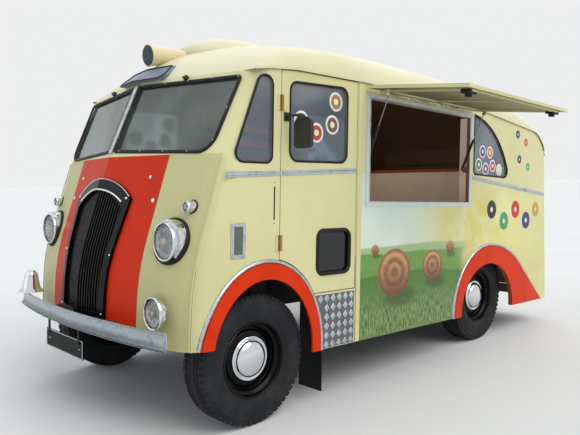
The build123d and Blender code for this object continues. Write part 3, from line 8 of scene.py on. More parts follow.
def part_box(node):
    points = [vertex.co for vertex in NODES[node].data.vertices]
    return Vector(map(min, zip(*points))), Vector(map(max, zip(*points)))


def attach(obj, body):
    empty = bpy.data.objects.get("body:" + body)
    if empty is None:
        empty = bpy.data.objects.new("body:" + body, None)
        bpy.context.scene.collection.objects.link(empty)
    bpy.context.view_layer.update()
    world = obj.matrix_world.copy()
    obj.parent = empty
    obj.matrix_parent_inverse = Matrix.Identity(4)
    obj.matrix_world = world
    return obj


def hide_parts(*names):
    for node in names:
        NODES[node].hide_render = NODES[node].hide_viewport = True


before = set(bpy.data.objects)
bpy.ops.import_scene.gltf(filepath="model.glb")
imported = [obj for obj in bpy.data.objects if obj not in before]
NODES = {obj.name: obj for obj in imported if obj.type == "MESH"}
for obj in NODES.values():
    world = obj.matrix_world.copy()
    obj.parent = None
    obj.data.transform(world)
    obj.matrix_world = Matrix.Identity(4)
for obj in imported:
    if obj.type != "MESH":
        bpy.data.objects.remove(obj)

bl_info = {
    "name": "Ice Cream Truck",
    "version": (1, 0, 0),
    "blender": (4, 5, 0),
    "location": "View3D > Sidebar > Truck",
    "description": "Dresses the packed ice cream truck with paint, trims, wheels, lamps and fittings",
    "category": "Object",
}

# The body's own frame: millimetres, X forward, Y left, Z up, before the truck is set on its tyres

MM = 1000.0
SIDES = ((1, "left"), (-1, "right"))
RAKE = math.radians(2.37)
FRONT_WHEEL = Vector((-45.0, 820.0, 320.0))
REAR_WHEEL = Vector((-2592.8, 786.0, 425.45))
HALF_WIDTH = 960.0
CORNER_RADIUS = 150.0
CORNER_BACK = 289.9
V_SLOPE = 0.17
SCREEN_RAKE = 0.416


def body_to_row():
    """The matrix from the body's frame to the row frame, found from the left front tyre."""
    low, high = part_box("front_left_tyre")
    turn = Matrix.Rotation(-RAKE, 4, "Y") @ Matrix.Scale(1 / MM, 4)
    return Matrix.Translation((low + high) / 2 - turn @ FRONT_WHEEL) @ turn


ROW = body_to_row()
SHIFT = ROW.to_translation()


def nose_x(z):
    """How far forward the nose's centre line stands at a height."""
    if z < 440:
        return 600.0
    if z < 640:
        return 600 - 0.03 * (z - 440)
    if z < 1000:
        t = (z - 640) / 360
        return 594 - 10.8 * t - 48.2 * t * t
    if z < 1475:
        return 535 - 0.30376 * (z - 1000)
    return 390.7 - 0.41639 * (z - 1475)


def on_nose(y, z, proud=0.0):
    """A point of the nose's skin, or as far in front of it as it stands proud."""
    return Vector((nose_x(z) - V_SLOPE * abs(y) + proud, y, z))


def nose_facing(y, z):
    """The direction that the nose's skin faces."""
    slope = (nose_x(z + 5) - nose_x(z - 5)) / 10
    return Vector((1, math.copysign(V_SLOPE, y), -slope)).normalized()


def over_corner(x, z):
    """How far a point has gone past where the flat side begins to turn into the nose."""
    return max(0.0, x - nose_x(z) + CORNER_BACK)


def on_side(x, z, side=1):
    """A point of the side's skin, also where it turns into the nose."""
    round_off = math.sqrt(max(0.0, CORNER_RADIUS ** 2 - over_corner(x, z) ** 2))
    return Vector((x, side * (HALF_WIDTH - CORNER_RADIUS + round_off), z))


def side_facing(spot):
    """The direction that the side's skin faces at a point."""
    over = over_corner(spot.x, spot.z)
    across = math.sqrt(max(1.0, CORNER_RADIUS ** 2 - over ** 2))
    return Vector((over, math.copysign(across, spot.y), 0)).normalized()


def on_sign(y, z, proud=0.0):
    """A point of the sign board's leaning face over the screens."""
    return Vector((236 - 1.16 * (z - 1962) - V_SLOPE * abs(y) + proud, y, z))


def linear(red, green, blue):
    """A colour of 0 to 255 values, as linear light."""
    def one(value):
        share = value / 255
        return share / 12.92 if share < 0.04045 else ((share + 0.055) / 1.055) ** 2.4
    return (one(red), one(green), one(blue), 1.0)


def darker(colour, share):
    """A colour with less light in it."""
    return tuple(value * share for value in colour[:3]) + (1.0,)


# Settings

def colour_setting(name, description, red, green, blue):
    """A colour that the user can change, its default given as 0 to 255 values."""
    return bpy.props.FloatVectorProperty(
        name=name, description=description, default=linear(red, green, blue), size=4, subtype="COLOR",
        min=0.0, max=1.0)


class TruckSettings(bpy.types.PropertyGroup):
    """Sizes and colours of the dressing that may be changed before it is made"""

    cream: colour_setting("Cream", "Paint of the body", 215, 211, 159)
    cream_deep: colour_setting("Deep cream", "Where the body's paint has yellowed", 206, 199, 145)
    # The nose's creams are the body's cream painted darker: painted shade, as the nose is turned away from
    # the key light
    nose_shaded_cream: colour_setting("Nose cream", "Paint of the nose beside the band", 194, 191, 141)
    nose_shaded_deep: colour_setting("Deep nose cream", "Where the nose's paint has yellowed", 182, 177, 126)
    roof_cream: colour_setting("Roof cream", "Paint of the roof", 222, 218, 182)
    roof_deep: colour_setting("Deep roof cream", "Where the roof's paint has yellowed", 212, 206, 162)
    band_orange: colour_setting("Band orange", "The broad band down the nose", 206, 46, 4)
    arch_orange: colour_setting("Arch orange", "The bands over the wheels", 214, 50, 2)
    tread_blocks: bpy.props.IntProperty(
        name="Tread blocks", description="Blocks round each shoulder of a tyre", default=58, min=24, max=90)
    seal_width: bpy.props.FloatProperty(
        name="Seal width", description="Width of the windscreen rubbers", default=0.023, min=0.010, max=0.050,
        unit="LENGTH")
    screw_gap: bpy.props.FloatProperty(
        name="Screw gap", description="Distance between the screws of the mouldings", default=0.150,
        min=0.060, max=0.400, unit="LENGTH")
    diamond_pitch: bpy.props.FloatProperty(
        name="Diamond pitch", description="Distance between the diamonds of the tread plates", default=0.058,
        min=0.030, max=0.090, unit="LENGTH")


# Materials

# The Mix node has a set of sockets for each kind of data; these are its colours
MIX_FIRST = 6
MIX_SECOND = 7
MIX_RESULT = 2
TRUCK_MIDDLE = (-1.6, 0.0, 1.25)


class Value:
    """A number, colour or place that a material works out point by point, so that sums read as sums."""

    def __init__(self, tree, socket):
        self.tree = tree
        self.socket = socket

    def maths(self, operation, first, second=0.0):
        node = self.tree.nodes.new("ShaderNodeMath")
        node.operation = operation
        feed(first, node.inputs[0])
        feed(second, node.inputs[1])
        return Value(self.tree, node.outputs[0])

    def __add__(self, other):
        return self.maths("ADD", self, other)

    def __sub__(self, other):
        return self.maths("SUBTRACT", self, other)

    def __rsub__(self, other):
        return self.maths("SUBTRACT", other, self)

    def __mul__(self, other):
        return self.maths("MULTIPLY", self, other)

    def __abs__(self):
        return self.maths("ABSOLUTE", self)

    def sine(self):
        return self.maths("SINE", self)

    def root(self):
        return self.maths("SQRT", self)

    def least(self, other):
        return self.maths("MINIMUM", self, other)

    def most(self, other):
        return self.maths("MAXIMUM", self, other)

    def vector(self, operation, other):
        node = self.tree.nodes.new("ShaderNodeVectorMath")
        node.operation = operation
        feed(self, node.inputs[0])
        feed(other, node.inputs[1])
        return Value(self.tree, node.outputs["Value" if operation == "DOT_PRODUCT" else "Vector"])

    def split(self):
        """The three numbers of a place or a direction."""
        node = self.tree.nodes.new("ShaderNodeSeparateXYZ")
        feed(self, node.inputs[0])
        return [Value(self.tree, output) for output in node.outputs]

    def step(self, low, high):
        """0 below low and 1 above high, smooth between; low may be the larger."""
        node = self.tree.nodes.new("ShaderNodeMapRange")
        node.interpolation_type = "SMOOTHSTEP"
        feed(self, node.inputs["Value"])
        ends = (low, high, 0.0, 1.0) if low < high else (high, low, 1.0, 0.0)
        for name, end in zip(("From Min", "From Max", "To Min", "To Max"), ends):
            node.inputs[name].default_value = end
        return Value(self.tree, node.outputs["Result"])


def feed(value, target):
    """Links a worked-out value to a socket, or sets a constant on it."""
    if isinstance(value, Value):
        value.tree.links.new(value.socket, target)
    else:
        target.default_value = value


class Paint:
    """A material under construction, with where a point lies in the body's frame, in metres."""

    def __init__(self, name, colour, roughness=0.5, metallic=0.0, coat=0.0, shine=0.5):
        self.material = bpy.data.materials.new(name)
        self.material.use_nodes = True
        self.tree = self.material.node_tree
        self.shader = self.tree.nodes["Principled BSDF"]
        for socket, value in (("Base Color", colour), ("Roughness", roughness), ("Metallic", metallic),
                              ("Coat Weight", coat), ("Coat Roughness", 0.08), ("Specular IOR Level", shine)):
            self.shader.inputs[socket].default_value = value
        coordinates = self.tree.nodes.new("ShaderNodeTexCoord")
        self.normal = Value(self.tree, coordinates.outputs["Normal"])
        moved = Value(self.tree, coordinates.outputs["Object"]).vector("SUBTRACT", tuple(SHIFT))
        turned = self.tree.nodes.new("ShaderNodeVectorRotate")
        turned.rotation_type = "Y_AXIS"
        turned.inputs["Angle"].default_value = RAKE
        feed(moved, turned.inputs["Vector"])
        self.place = Value(self.tree, turned.outputs["Vector"])
        self.x, self.y, self.z = self.place.split()

    def join(self, x, y, z):
        """A place put together from three numbers."""
        node = self.tree.nodes.new("ShaderNodeCombineXYZ")
        for value, target in zip((x, y, z), node.inputs):
            feed(value, target)
        return Value(self.tree, node.outputs[0])

    def noise(self, scale, detail=3.0, place=None, rough=0.5, dimensions="3D"):
        """Cloudy values about one half; in one dimension place is a single number."""
        node = self.tree.nodes.new("ShaderNodeTexNoise")
        node.noise_dimensions = dimensions
        node.inputs["Scale"].default_value = scale
        node.inputs["Detail"].default_value = detail
        node.inputs["Roughness"].default_value = rough
        feed(place or self.place, node.inputs["W" if dimensions == "1D" else "Vector"])
        return Value(self.tree, node.outputs["Fac"])

    def mix(self, share, first, second):
        """The first colour where share is 0, and the second where it is 1."""
        node = self.tree.nodes.new("ShaderNodeMix")
        node.data_type = "RGBA"
        feed(share, node.inputs["Factor"])
        feed(first, node.inputs[MIX_FIRST])
        feed(second, node.inputs[MIX_SECOND])
        return Value(self.tree, node.outputs[MIX_RESULT])

    def colour(self, value):
        feed(value, self.shader.inputs["Base Color"])
        return self

    def rough(self, low, high, scale=30.0):
        """Lets roughness wander between two values."""
        feed(self.noise(scale, 4.0) * (high - low) + low, self.shader.inputs["Roughness"])
        return self

    def bump(self, height, distance=0.001, strength=0.4):
        node = self.tree.nodes.new("ShaderNodeBump")
        node.inputs["Strength"].default_value = strength
        node.inputs["Distance"].default_value = distance
        feed(height, node.inputs["Height"])
        self.tree.links.new(node.outputs["Normal"], self.shader.inputs["Normal"])
        return self

    def enamel(self, low, high):
        """The gloss of brushed coach paint over beaten panels."""
        self.rough(low, high, 9.0)
        return self.bump(self.noise(5.0, 2.0), 0.002, 0.12)

    def cut_edge(self):
        """1 on the cut edges of the side skins round the wheels, where painted shade goes, 0 elsewhere."""
        across = abs(self.normal.split()[1])
        return across.step(0.4, 0.3) * self.z.step(0.88, 0.87) * abs(self.y).step(0.92, 0.925)

    def inside(self):
        """1 on faces that look towards the truck's middle, 0 on its outer skin."""
        away = self.place.vector("SUBTRACT", TRUCK_MIDDLE)
        return self.normal.vector("DOT_PRODUCT", away).step(0.02, -0.02)


INNER = linear(104, 82, 62)
INNER_LIGHT = linear(126, 100, 80)
GRIME = linear(92, 88, 62)
BRASS = linear(150, 116, 52)
# Painted shade: near black for the skins' cut edges inside the wheel arches
ARCH_EDGE_SHADE = linear(26, 25, 24)

# Places on the skin, in metres
ORANGE_HALF = 0.54
HINGE_X = -0.1705
MURAL_FRONT = -0.893
WAIST_HEIGHT = 1.413
WAIST_BREAK = -2.29
WAIST_FALL = 0.0846
# Columns: base height, swing, noise scale, offset, light colour, dark colour
HILLS = [
    (0.925, 0.035, 1.1, 3.1, (172, 194, 142), (146, 174, 112)),
    (0.875, 0.035, 1.5, 8.7, (122, 158, 84), (94, 138, 60)),
    (0.72, 0.06, 0.9, 1.9, (94, 136, 60), (62, 108, 42)),
]
# Columns: x, z, radius
BALES = [
    (-1.74, 0.755, 0.135),
    (-1.27, 0.735, 0.190),
    (-1.98, 0.880, 0.060),
    (-1.05, 0.900, 0.045),
]
# Columns: x, z, radius, colour
DISCS = [
    (-2.62, 1.17, 0.080, (34, 40, 40)),
    (-2.84, 1.07, 0.080, (58, 150, 92)),
    (-3.05, 1.17, 0.080, (198, 40, 40)),
    (-3.26, 1.07, 0.080, (38, 46, 128)),
    (-3.45, 1.17, 0.070, (196, 150, 60)),
    (-3.06, 1.84, 0.040, (52, 60, 130)),
    (-3.22, 1.78, 0.040, (206, 84, 84)),
    (-3.10, 1.62, 0.040, (58, 60, 66)),
    (-3.27, 1.56, 0.040, (96, 168, 120)),
]
DOOR_STICKERS = [
    (-0.340, 1.700, 0.060, (150, 96, 60)),
    (-0.470, 1.640, 0.060, (176, 70, 52)),
    (-0.610, 1.700, 0.060, (120, 84, 60)),
    (-0.640, 1.845, 0.060, (168, 120, 62)),
]
SIDE_STICKERS = [
    (-2.400, 1.540, 0.052, (60, 120, 92)),
    (-2.515, 1.510, 0.052, (120, 60, 124)),
    (-2.630, 1.540, 0.052, (196, 60, 66)),
    (-2.745, 1.510, 0.052, (216, 206, 176)),
    (-2.460, 1.650, 0.052, (54, 70, 140)),
    (-2.580, 1.650, 0.052, (206, 120, 60)),
]


def weathered(paint, base, deep):
    """Cream paint gone a little uneven, with grime low down."""
    tone = paint.mix(paint.noise(1.1, 4.0).step(0.35, 0.7), base, deep)
    grime = paint.z.step(0.62, 0.3) * paint.noise(22.0, 6.0, rough=0.7).step(0.45, 0.8)
    return paint.mix(grime * 0.4, tone, GRIME)


def body_paint(name, base, deep):
    """Cream outside, brown inside, with brass on the knuckles of the door hinges."""
    paint = Paint(name, base, 0.36, coat=0.1, shine=0.3)
    hinge = abs(paint.x - HINGE_X).step(0.018, 0.017)
    hinge = hinge * abs(paint.y).step(0.9615, 0.9625) * paint.z.step(1.88, 1.87)
    outer = paint.mix(hinge, weathered(paint, base, deep), BRASS)
    # Painted shade: the cut edges round the wheels go near black
    outer = paint.mix(paint.cut_edge(), outer, ARCH_EDGE_SHADE)
    paint.colour(paint.mix(paint.inside(), outer, paint.mix(paint.noise(6.0), INNER, INNER_LIGHT)))
    return paint.enamel(0.32, 0.48)


def nose_paint(base, deep, orange):
    """Cream with the broad orange band down the middle, and a fine line where they meet."""
    paint = Paint("nose_paint", base, 0.36, coat=0.02, shine=0.12)
    across = abs(paint.y)
    band = across.step(ORANGE_HALF + 0.001, ORANGE_HALF - 0.001)
    line = abs(across - ORANGE_HALF).step(0.004, 0.002)
    banded = paint.mix(paint.noise(3.0), orange, linear(188, 38, 4))
    outer = paint.mix(band, weathered(paint, base, deep), banded)
    outer = paint.mix(line * 0.5, outer, linear(110, 60, 24))
    paint.colour(paint.mix(paint.inside(), outer, INNER))
    return paint.enamel(0.34, 0.5)


def distance_from(paint, x, z, squash=1.0):
    """How far a point of the side lies from (x, z)."""
    dx = paint.x - x
    dz = (paint.z - z) * squash
    return (dx * dx + dz * dz).root()


def landscape(paint):
    """A painted field: a hazy sky, three rows of hills and long grass, gone to yellow at the rear."""
    haze = paint.noise(1.3).step(0.35, 0.65)
    front = paint.mix(haze, linear(196, 216, 208), linear(214, 226, 206))
    rear = paint.mix(haze, linear(226, 218, 138), linear(208, 196, 104))
    picture = paint.mix(paint.x.step(-1.2, -2.2), front, rear)
    picture = paint.mix(paint.noise(2.4, 5.0).step(0.5, 0.72) * 0.5, picture, linear(234, 236, 220))
    blades = paint.noise(26.0, 6.0, paint.join(paint.x * 3.0, 0.0, paint.z * 0.7), 0.7)
    field = (paint.x + paint.noise(3.0) * 0.3).step(-2.15, -1.9)
    for base, swing, scale, offset, light, dark in HILLS:
        wave = paint.noise(scale, 2.0, paint.x + offset, dimensions="1D")
        top = (wave - 0.5) * (swing * 2) + base
        green = paint.mix(blades.step(0.3, 0.7), linear(*light), linear(*dark))
        picture = paint.mix((top - paint.z).step(-0.006, 0.012) * field, picture, green)
    grass = paint.mix(blades.step(0.38, 0.62), linear(46, 92, 34), linear(142, 160, 100))
    return paint.mix(paint.z.step(0.72, 0.42) * field, picture, grass)


def bales(paint, picture):
    """Round straw bales standing in the field, each with its shadow."""
    for x, z, radius in BALES:
        beside = distance_from(paint, x - radius * 0.3, z - radius * 0.9, 2.6)
        picture = paint.mix(beside.step(radius * 1.3, radius * 0.6) * 0.6, picture, linear(40, 70, 32))
        far = distance_from(paint, x, z, 1.12)
        rings = (far * (15 / radius)).sine() + paint.noise(60.0) * 3.0
        straw = paint.mix(rings.step(0.6, 2.6), linear(206, 158, 106), linear(150, 98, 62))
        straw = paint.mix((z - paint.z).step(-radius, radius), straw, linear(112, 72, 48))
        picture = paint.mix(far.step(radius, radius - 0.008), picture, straw)
    return picture


def spots(paint, picture, rows, share):
    """Discs of the colours in a table, each with a pale middle."""
    for x, z, radius, tint in rows:
        far = distance_from(paint, x, z)
        picture = paint.mix(far.step(radius, radius - 0.004), picture, linear(*tint))
        picture = paint.mix(far.step(radius * share, radius * share - 0.004), picture, linear(224, 218, 190))
    return picture


def sticker_paint():
    """White round stickers with coloured rings on the window glass."""
    paint = Paint("sticker_paper", linear(226, 228, 224), 0.5, coat=0.1, shine=0.3)
    paper = paint.mix(paint.noise(20.0), linear(230, 231, 226), linear(214, 218, 216))
    rings = [(x, z, radius * 0.8, tint) for x, z, radius, tint in DOOR_STICKERS + SIDE_STICKERS]
    paint.colour(spots(paint, paper, rings, 0.45))
    return paint.rough(0.35, 0.5, 20.0)


def mural_paint(base, deep):
    """The side panels: cream above the waist and at the rear, the painted field and the discs below."""
    paint = Paint("mural_paint", base, 0.36, coat=0.1, shine=0.3)
    # The waist falls to the rear, and the picture stops under it
    waist = ((paint.x - WAIST_BREAK) * WAIST_FALL + WAIST_HEIGHT).least(WAIST_HEIGHT)
    low = (waist - paint.z).step(-0.002, 0.002)
    front = paint.x.step(MURAL_FRONT + 0.001, MURAL_FRONT - 0.001)
    rear = paint.x.step(-3.55, -2.5) * 0.6 + 0.4
    above = paint.z.step(1.45, 1.15).most(paint.x.step(-2.3, -2.1))
    picture = bales(paint, landscape(paint))
    outer = paint.mix(low * front * rear * above, weathered(paint, base, deep), picture)
    # Painted shade: the cut edges round the wheels go near black
    outer = paint.mix(paint.cut_edge(), spots(paint, outer, DISCS, 0.3), ARCH_EDGE_SHADE)
    paint.colour(paint.mix(paint.inside(), outer, paint.mix(paint.noise(6.0), INNER, INNER_LIGHT)))
    return paint.enamel(0.34, 0.48)


def glass_paint(name, tint, clearness, shade):
    """Glass that lets the lamps' light through, so that what lies behind it isn't black."""
    paint = Paint(name, tint, 0.03)
    paint.shader.inputs["Transmission Weight"].default_value = clearness
    paint.shader.inputs["IOR"].default_value = 1.46
    clear = paint.tree.nodes.new("ShaderNodeBsdfTransparent")
    clear.inputs["Color"].default_value = (shade, shade, shade, 1)
    path = paint.tree.nodes.new("ShaderNodeLightPath")
    choose = paint.tree.nodes.new("ShaderNodeMixShader")
    ends = (path.outputs["Is Shadow Ray"], paint.shader.outputs[0], clear.outputs[0])
    for output, target in zip(ends, choose.inputs):
        paint.tree.links.new(output, target)
    paint.tree.links.new(choose.outputs[0], paint.tree.nodes["Material Output"].inputs["Surface"])
    return paint


def window_glass():
    """The tint holds painted reflection and shade: the side lights pale with painted sky reflection, the
    screens darker and the low door light nearly black with painted shade; pale dried rain spots the screens.
    """
    paint = glass_paint("window_glass", linear(150, 160, 158), 0.84, 0.7)
    smear_and_reflection = paint.noise(2.2, 4.0).step(0.3, 0.7)
    drops = paint.noise(210.0, 2.0)
    # Painted reflection and shade: the screens darker, the side lights paler where they mirror the sky
    screens = paint.mix(smear_and_reflection, linear(96, 116, 108), linear(146, 164, 156))
    screens = paint.mix(drops.step(0.6, 0.68) * 0.45, screens, linear(206, 214, 210))
    sides = paint.mix(smear_and_reflection, linear(158, 174, 190), linear(204, 216, 226))
    tint = paint.mix(abs(paint.y).step(0.92, 0.93), screens, sides)
    # Painted shade: the low door light nearly black
    paint.colour(paint.mix(paint.z.step(1.2, 1.15), tint, linear(44, 48, 52)))
    return paint.bump(drops, 0.0003, 0.2)


def lens_paint():
    """Moulded lamp glass with upright flutes."""
    paint = glass_paint("lamp_glass", linear(238, 243, 240), 1.0, 0.95)
    return paint.bump((paint.y * 620.0).sine() * 0.35 + paint.noise(90.0, 2.0), 0.0035, 0.9)


def canopy_paint(base, deep):
    """Cream above, and under the raised hatch a dull olive that is painted shade, darker towards the truck
    and blotched.
    """
    paint = Paint("canopy_paint", base, 0.45, shine=0.3)
    # Painted shade: faces that look down are painted dull olive, darkest near the truck's side
    under = paint.normal.split()[2].step(-0.3, -0.5)
    shade = paint.mix(paint.y.step(1.0, 1.7), linear(110, 106, 74), linear(164, 160, 126))
    shade = paint.mix(paint.noise(3.0, 5.0).step(0.4, 0.7) * 0.3, shade, linear(96, 92, 62))
    paint.colour(paint.mix(under, weathered(paint, base, deep), shade))
    return paint.rough(0.4, 0.55, 8.0)


def metal(name, colour, low, high, scale=20.0):
    """Bare or plated metal, its shine wandering between two roughnesses."""
    paint = Paint(name, colour, low, 1.0)
    worn = paint.noise(scale, 6.0, rough=0.7).step(0.45, 0.75)
    paint.colour(paint.mix(worn, colour, darker(colour, 0.62)))
    return paint.rough(low, high, scale)


def bumper_metal():
    """Old plating, dull, dented and spotted, with a painted reflection of the dark ground on its lower half.
    """
    plated = linear(168, 178, 184)
    paint = Paint("bumper_metal", plated, 0.16, 1.0)
    pits = paint.noise(34.0, 6.0, rough=0.75).step(0.5, 0.68)
    # Painted reflection: the lower half is darkened as the ground mirrored in the plating
    ground_reflection = (paint.z + paint.noise(7.0, 4.0) * 0.03).step(0.535, 0.5)
    pitted_plating = paint.mix(pits * 0.6, plated, linear(88, 92, 90))
    paint.colour(paint.mix(ground_reflection * 0.7, pitted_plating, linear(74, 84, 86)))
    paint.rough(0.16, 0.45, 16.0)
    return paint.bump(paint.noise(64.0, 5.0, rough=0.7), 0.0008, 0.6)


def chrome(name):
    """Bright plating or mirror silver."""
    return Paint(name, linear(214, 218, 222), 0.05, 1.0).rough(0.03, 0.09, 8.0)


def rubber_paint():
    """Black rubber with a little dust."""
    paint = Paint("rubber", linear(16, 16, 18), 0.55, shine=0.3)
    dust = paint.noise(18.0, 5.0).step(0.5, 0.85)
    paint.colour(paint.mix(dust * 0.35, linear(16, 16, 18), linear(52, 51, 46)))
    paint.rough(0.45, 0.65, 20.0)
    return paint.bump(paint.noise(120.0), 0.0004, 0.25)


def tyre_paint():
    """Black rubber with patchy dust."""
    paint = Paint("tyre_rubber", linear(26, 28, 31), 0.75, shine=0.25)
    dust = paint.noise(9.0, 6.0, rough=0.7).step(0.42, 0.8)
    paint.colour(paint.mix(dust * 0.5, linear(26, 28, 32), linear(62, 63, 60)))
    paint.rough(0.6, 0.85, 14.0)
    return paint.bump(paint.noise(160.0), 0.0005, 0.3)


def black_gloss():
    """Stove enamel on the wheels and the grille, dulled in places."""
    paint = Paint("black_gloss", linear(5, 6, 8), 0.22, shine=0.14)
    paint.colour(paint.mix(paint.noise(14.0, 6.0).step(0.55, 0.9), linear(5, 6, 8), linear(24, 24, 22)))
    return paint.rough(0.2, 0.38, 12.0)


def plain(name, colour, low, high, scale=16.0, coat=0.0, spread=0.8, shine=0.3):
    """An ordinary coat of paint or plastic, a little uneven."""
    paint = Paint(name, colour, low, coat=coat, shine=shine)
    paint.colour(paint.mix(paint.noise(scale, 5.0).step(0.4, 0.75), colour, darker(colour, spread)))
    paint.rough(low, high, scale)
    return paint.bump(paint.noise(scale * 5), 0.0004, 0.15)


def tread_plate():
    """Dark grey plate under the raised diamonds."""
    paint = Paint("tread_plate", linear(96, 97, 98), 0.5, 0.3)
    paint.colour(paint.mix(paint.noise(40.0, 5.0), linear(78, 79, 80), linear(118, 119, 118)))
    return paint.rough(0.4, 0.6, 25.0)


def timber():
    """Varnished boards along the truck."""
    paint = Paint("timber", linear(150, 84, 40), 0.4, coat=0.2)
    grain = paint.noise(7.0, 5.0, paint.join(paint.x * 0.8, paint.y * 9.0, paint.z * 9.0), 0.6)
    paint.colour(paint.mix(grain.step(0.35, 0.65), linear(186, 100, 38), linear(132, 66, 26)))
    paint.rough(0.32, 0.5, 20.0)
    return paint.bump(grain, 0.0006, 0.2)


def leather():
    """Oxblood hide with a fine grain."""
    paint = Paint("seat_leather", linear(96, 32, 24), 0.5)
    cells = paint.tree.nodes.new("ShaderNodeTexVoronoi")
    cells.inputs["Scale"].default_value = 220.0
    feed(paint.place, cells.inputs["Vector"])
    paint.colour(paint.mix(paint.noise(7.0), linear(104, 36, 26), linear(70, 24, 20)))
    paint.rough(0.42, 0.6, 18.0)
    return paint.bump(Value(paint.tree, cells.outputs["Distance"]), 0.0008, 0.35)


MATERIALS = {}


def build_materials(chosen):
    """Makes every material once, by the key that the pieces ask for."""
    cream, deep = tuple(chosen.cream), tuple(chosen.cream_deep)
    made = {
        "body": body_paint("body_paint", cream, deep),
        # The nose gets the darker creams, which are painted shade
        "nose": nose_paint(tuple(chosen.nose_shaded_cream), tuple(chosen.nose_shaded_deep), tuple(chosen.band_orange)),
        "mural": mural_paint(cream, deep),
        "roof": body_paint("roof_paint", tuple(chosen.roof_cream), tuple(chosen.roof_deep)),
        "orange": plain("orange_paint", tuple(chosen.arch_orange), 0.36, 0.48, 6.0, 0.02, 0.86, 0.12),
        "window": window_glass(),
        "lens": lens_paint(),
        "chrome": chrome("chrome"),
        "silvered": chrome("mirror_glass"),
        "bumper": bumper_metal(),
        "aluminium": metal("aluminium", linear(190, 198, 204), 0.25, 0.42),
        "steel": metal("steel", linear(130, 132, 130), 0.2, 0.35),
        "cast": plain("cast_iron", linear(44, 42, 40), 0.6, 0.85, 30.0),
        "chassis": plain("chassis_paint", linear(26, 26, 27), 0.5, 0.7, 20.0),
        "rubber": rubber_paint(),
        "tyre": tyre_paint(),
        "gloss": black_gloss(),
        "trim": plain("black_trim", linear(24, 24, 26), 0.4, 0.6, 30.0),
        "mirror": plain("mirror_shell", linear(52, 54, 46), 0.4, 0.6, 20.0),
        "plate": plain("plate_black", linear(9, 10, 11), 0.35, 0.5, 30.0, shine=0.1),
        "white": plain("white_paint", linear(206, 212, 208), 0.35, 0.5, 10.0, 0.1, 0.93),
        "canopy": canopy_paint(cream, deep),
        "sticker": sticker_paint(),
        "slate": plain("slate_cloth", linear(66, 72, 82), 0.6, 0.8, 90.0, 0.0, 0.7),
        "yellow": plain("yellow_paint", linear(206, 168, 60), 0.35, 0.5, 12.0),
        "red_lens": plain("red_lens", linear(160, 14, 12), 0.1, 0.2, 30.0, 0.4),
        "amber_lens": plain("amber_lens", linear(206, 150, 50), 0.12, 0.22, 30.0, 0.4),
        "sign": plain("sign_paint", linear(118, 130, 142), 0.35, 0.5, 10.0, 0.0, 0.9),
        "horn": plain("horn_paint", linear(226, 212, 168), 0.3, 0.45, 10.0, 0.2, 0.94),
        "timber": timber(),
        "leather": leather(),
        "tread_plate": tread_plate(),
        "floor": plain("floor_paint", linear(70, 62, 56), 0.6, 0.8, 12.0),
        "wall_board": plain("wall_board", linear(232, 216, 200), 0.4, 0.55, 8.0, 0.0, 0.92),
        "mesh": plain("vent_mesh", linear(116, 128, 112), 0.5, 0.7, 200.0, 0.0, 0.5),
    }
    for key, paint in made.items():
        MATERIALS[key] = paint.material


NODE_PAINT = {
    "body": ["left_cab_side", "right_cab_side", "rear_panel", "left_door", "right_door", "left_rear_door",
             "right_rear_door", "windscreen_surround"],
    "nose": ["nose_panel"],
    "mural": ["left_side", "right_side"],
    "roof": ["roof", "roof_fairing"],
    "orange": ["arch_bands"],
    "window": ["fixed_glass", "left_door_glass", "right_door_glass"],
    "lens": ["lamp_lenses"],
    "chrome": ["lamp_bodies", "bell"],
    "gloss": ["grille", "grille_surround"],
    "white": ["hatch_frame"],
    "canopy": ["hatch"],
    "trim": ["hatch_catches", "strut_tubes", "steering_wheel"],
    "steel": ["strut_rods"],
    "mirror": ["left_mirror", "right_mirror"],
    "cast": ["engine", "front_axle", "rear_axle", "left_knuckle", "right_knuckle"],
    "chassis": ["chassis_frame", "leaf_springs", "engine_cover"],
    "rubber": ["mud_flaps"],
    "plate": ["number_plates"],
    "red_lens": ["rear_lamps"],
    "sign": ["sign_board"],
    "horn": ["loudspeaker"],
    "timber": ["counters"],
    "floor": ["floor"],
}


# Shapes

def new_piece(name, bm, material, body="body", angle=38, smooth=True):
    """Closes a mesh drawn in the body's frame, carries it into the row frame and hangs it on its body."""
    bmesh.ops.remove_doubles(bm, verts=bm.verts, dist=0.02)
    bmesh.ops.recalc_face_normals(bm, faces=bm.faces)
    bmesh.ops.transform(bm, matrix=ROW, verts=bm.verts)
    mesh = bpy.data.meshes.new(name)
    for face in bm.faces:
        face.smooth = smooth
    bm.to_mesh(mesh)
    bm.free()
    if smooth:
        mesh.set_sharp_from_angle(angle=math.radians(angle))
    mesh.materials.append(MATERIALS[material])
    piece = bpy.data.objects.new(name, mesh)
    bpy.context.scene.collection.objects.link(piece)
    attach(piece, body)
    return piece


def frame_from(x_axis, y_axis, z_axis, origin):
    """The matrix with these three axes and this origin."""
    return Matrix((*zip(x_axis, y_axis, z_axis, origin), (0, 0, 0, 1)))


def rounded(corners, radii, steps=7):
    """Points round a polygon whose corners are turned to their own radii, or all to one."""
    points = []
    for index, corner in enumerate(corners):
        here = Vector(corner)
        before = (Vector(corners[index - 1]) - here).normalized()
        after = (Vector(corners[(index + 1) % len(corners)]) - here).normalized()
        half = before.angle(after) / 2
        radius = radii[index] if isinstance(radii, list) else radii
        centre = here + (before + after).normalized() * radius / math.sin(half)
        start = here + before * radius / math.tan(half) - centre
        end = here + after * radius / math.tan(half) - centre
        first = math.atan2(start.y, start.x)
        turn = (math.atan2(end.y, end.x) - first + math.pi) % (2 * math.pi) - math.pi
        for step in range(steps + 1):
            angle = first + turn * step / steps
            points.append(centre + radius * Vector((math.cos(angle), math.sin(angle))))
    return points


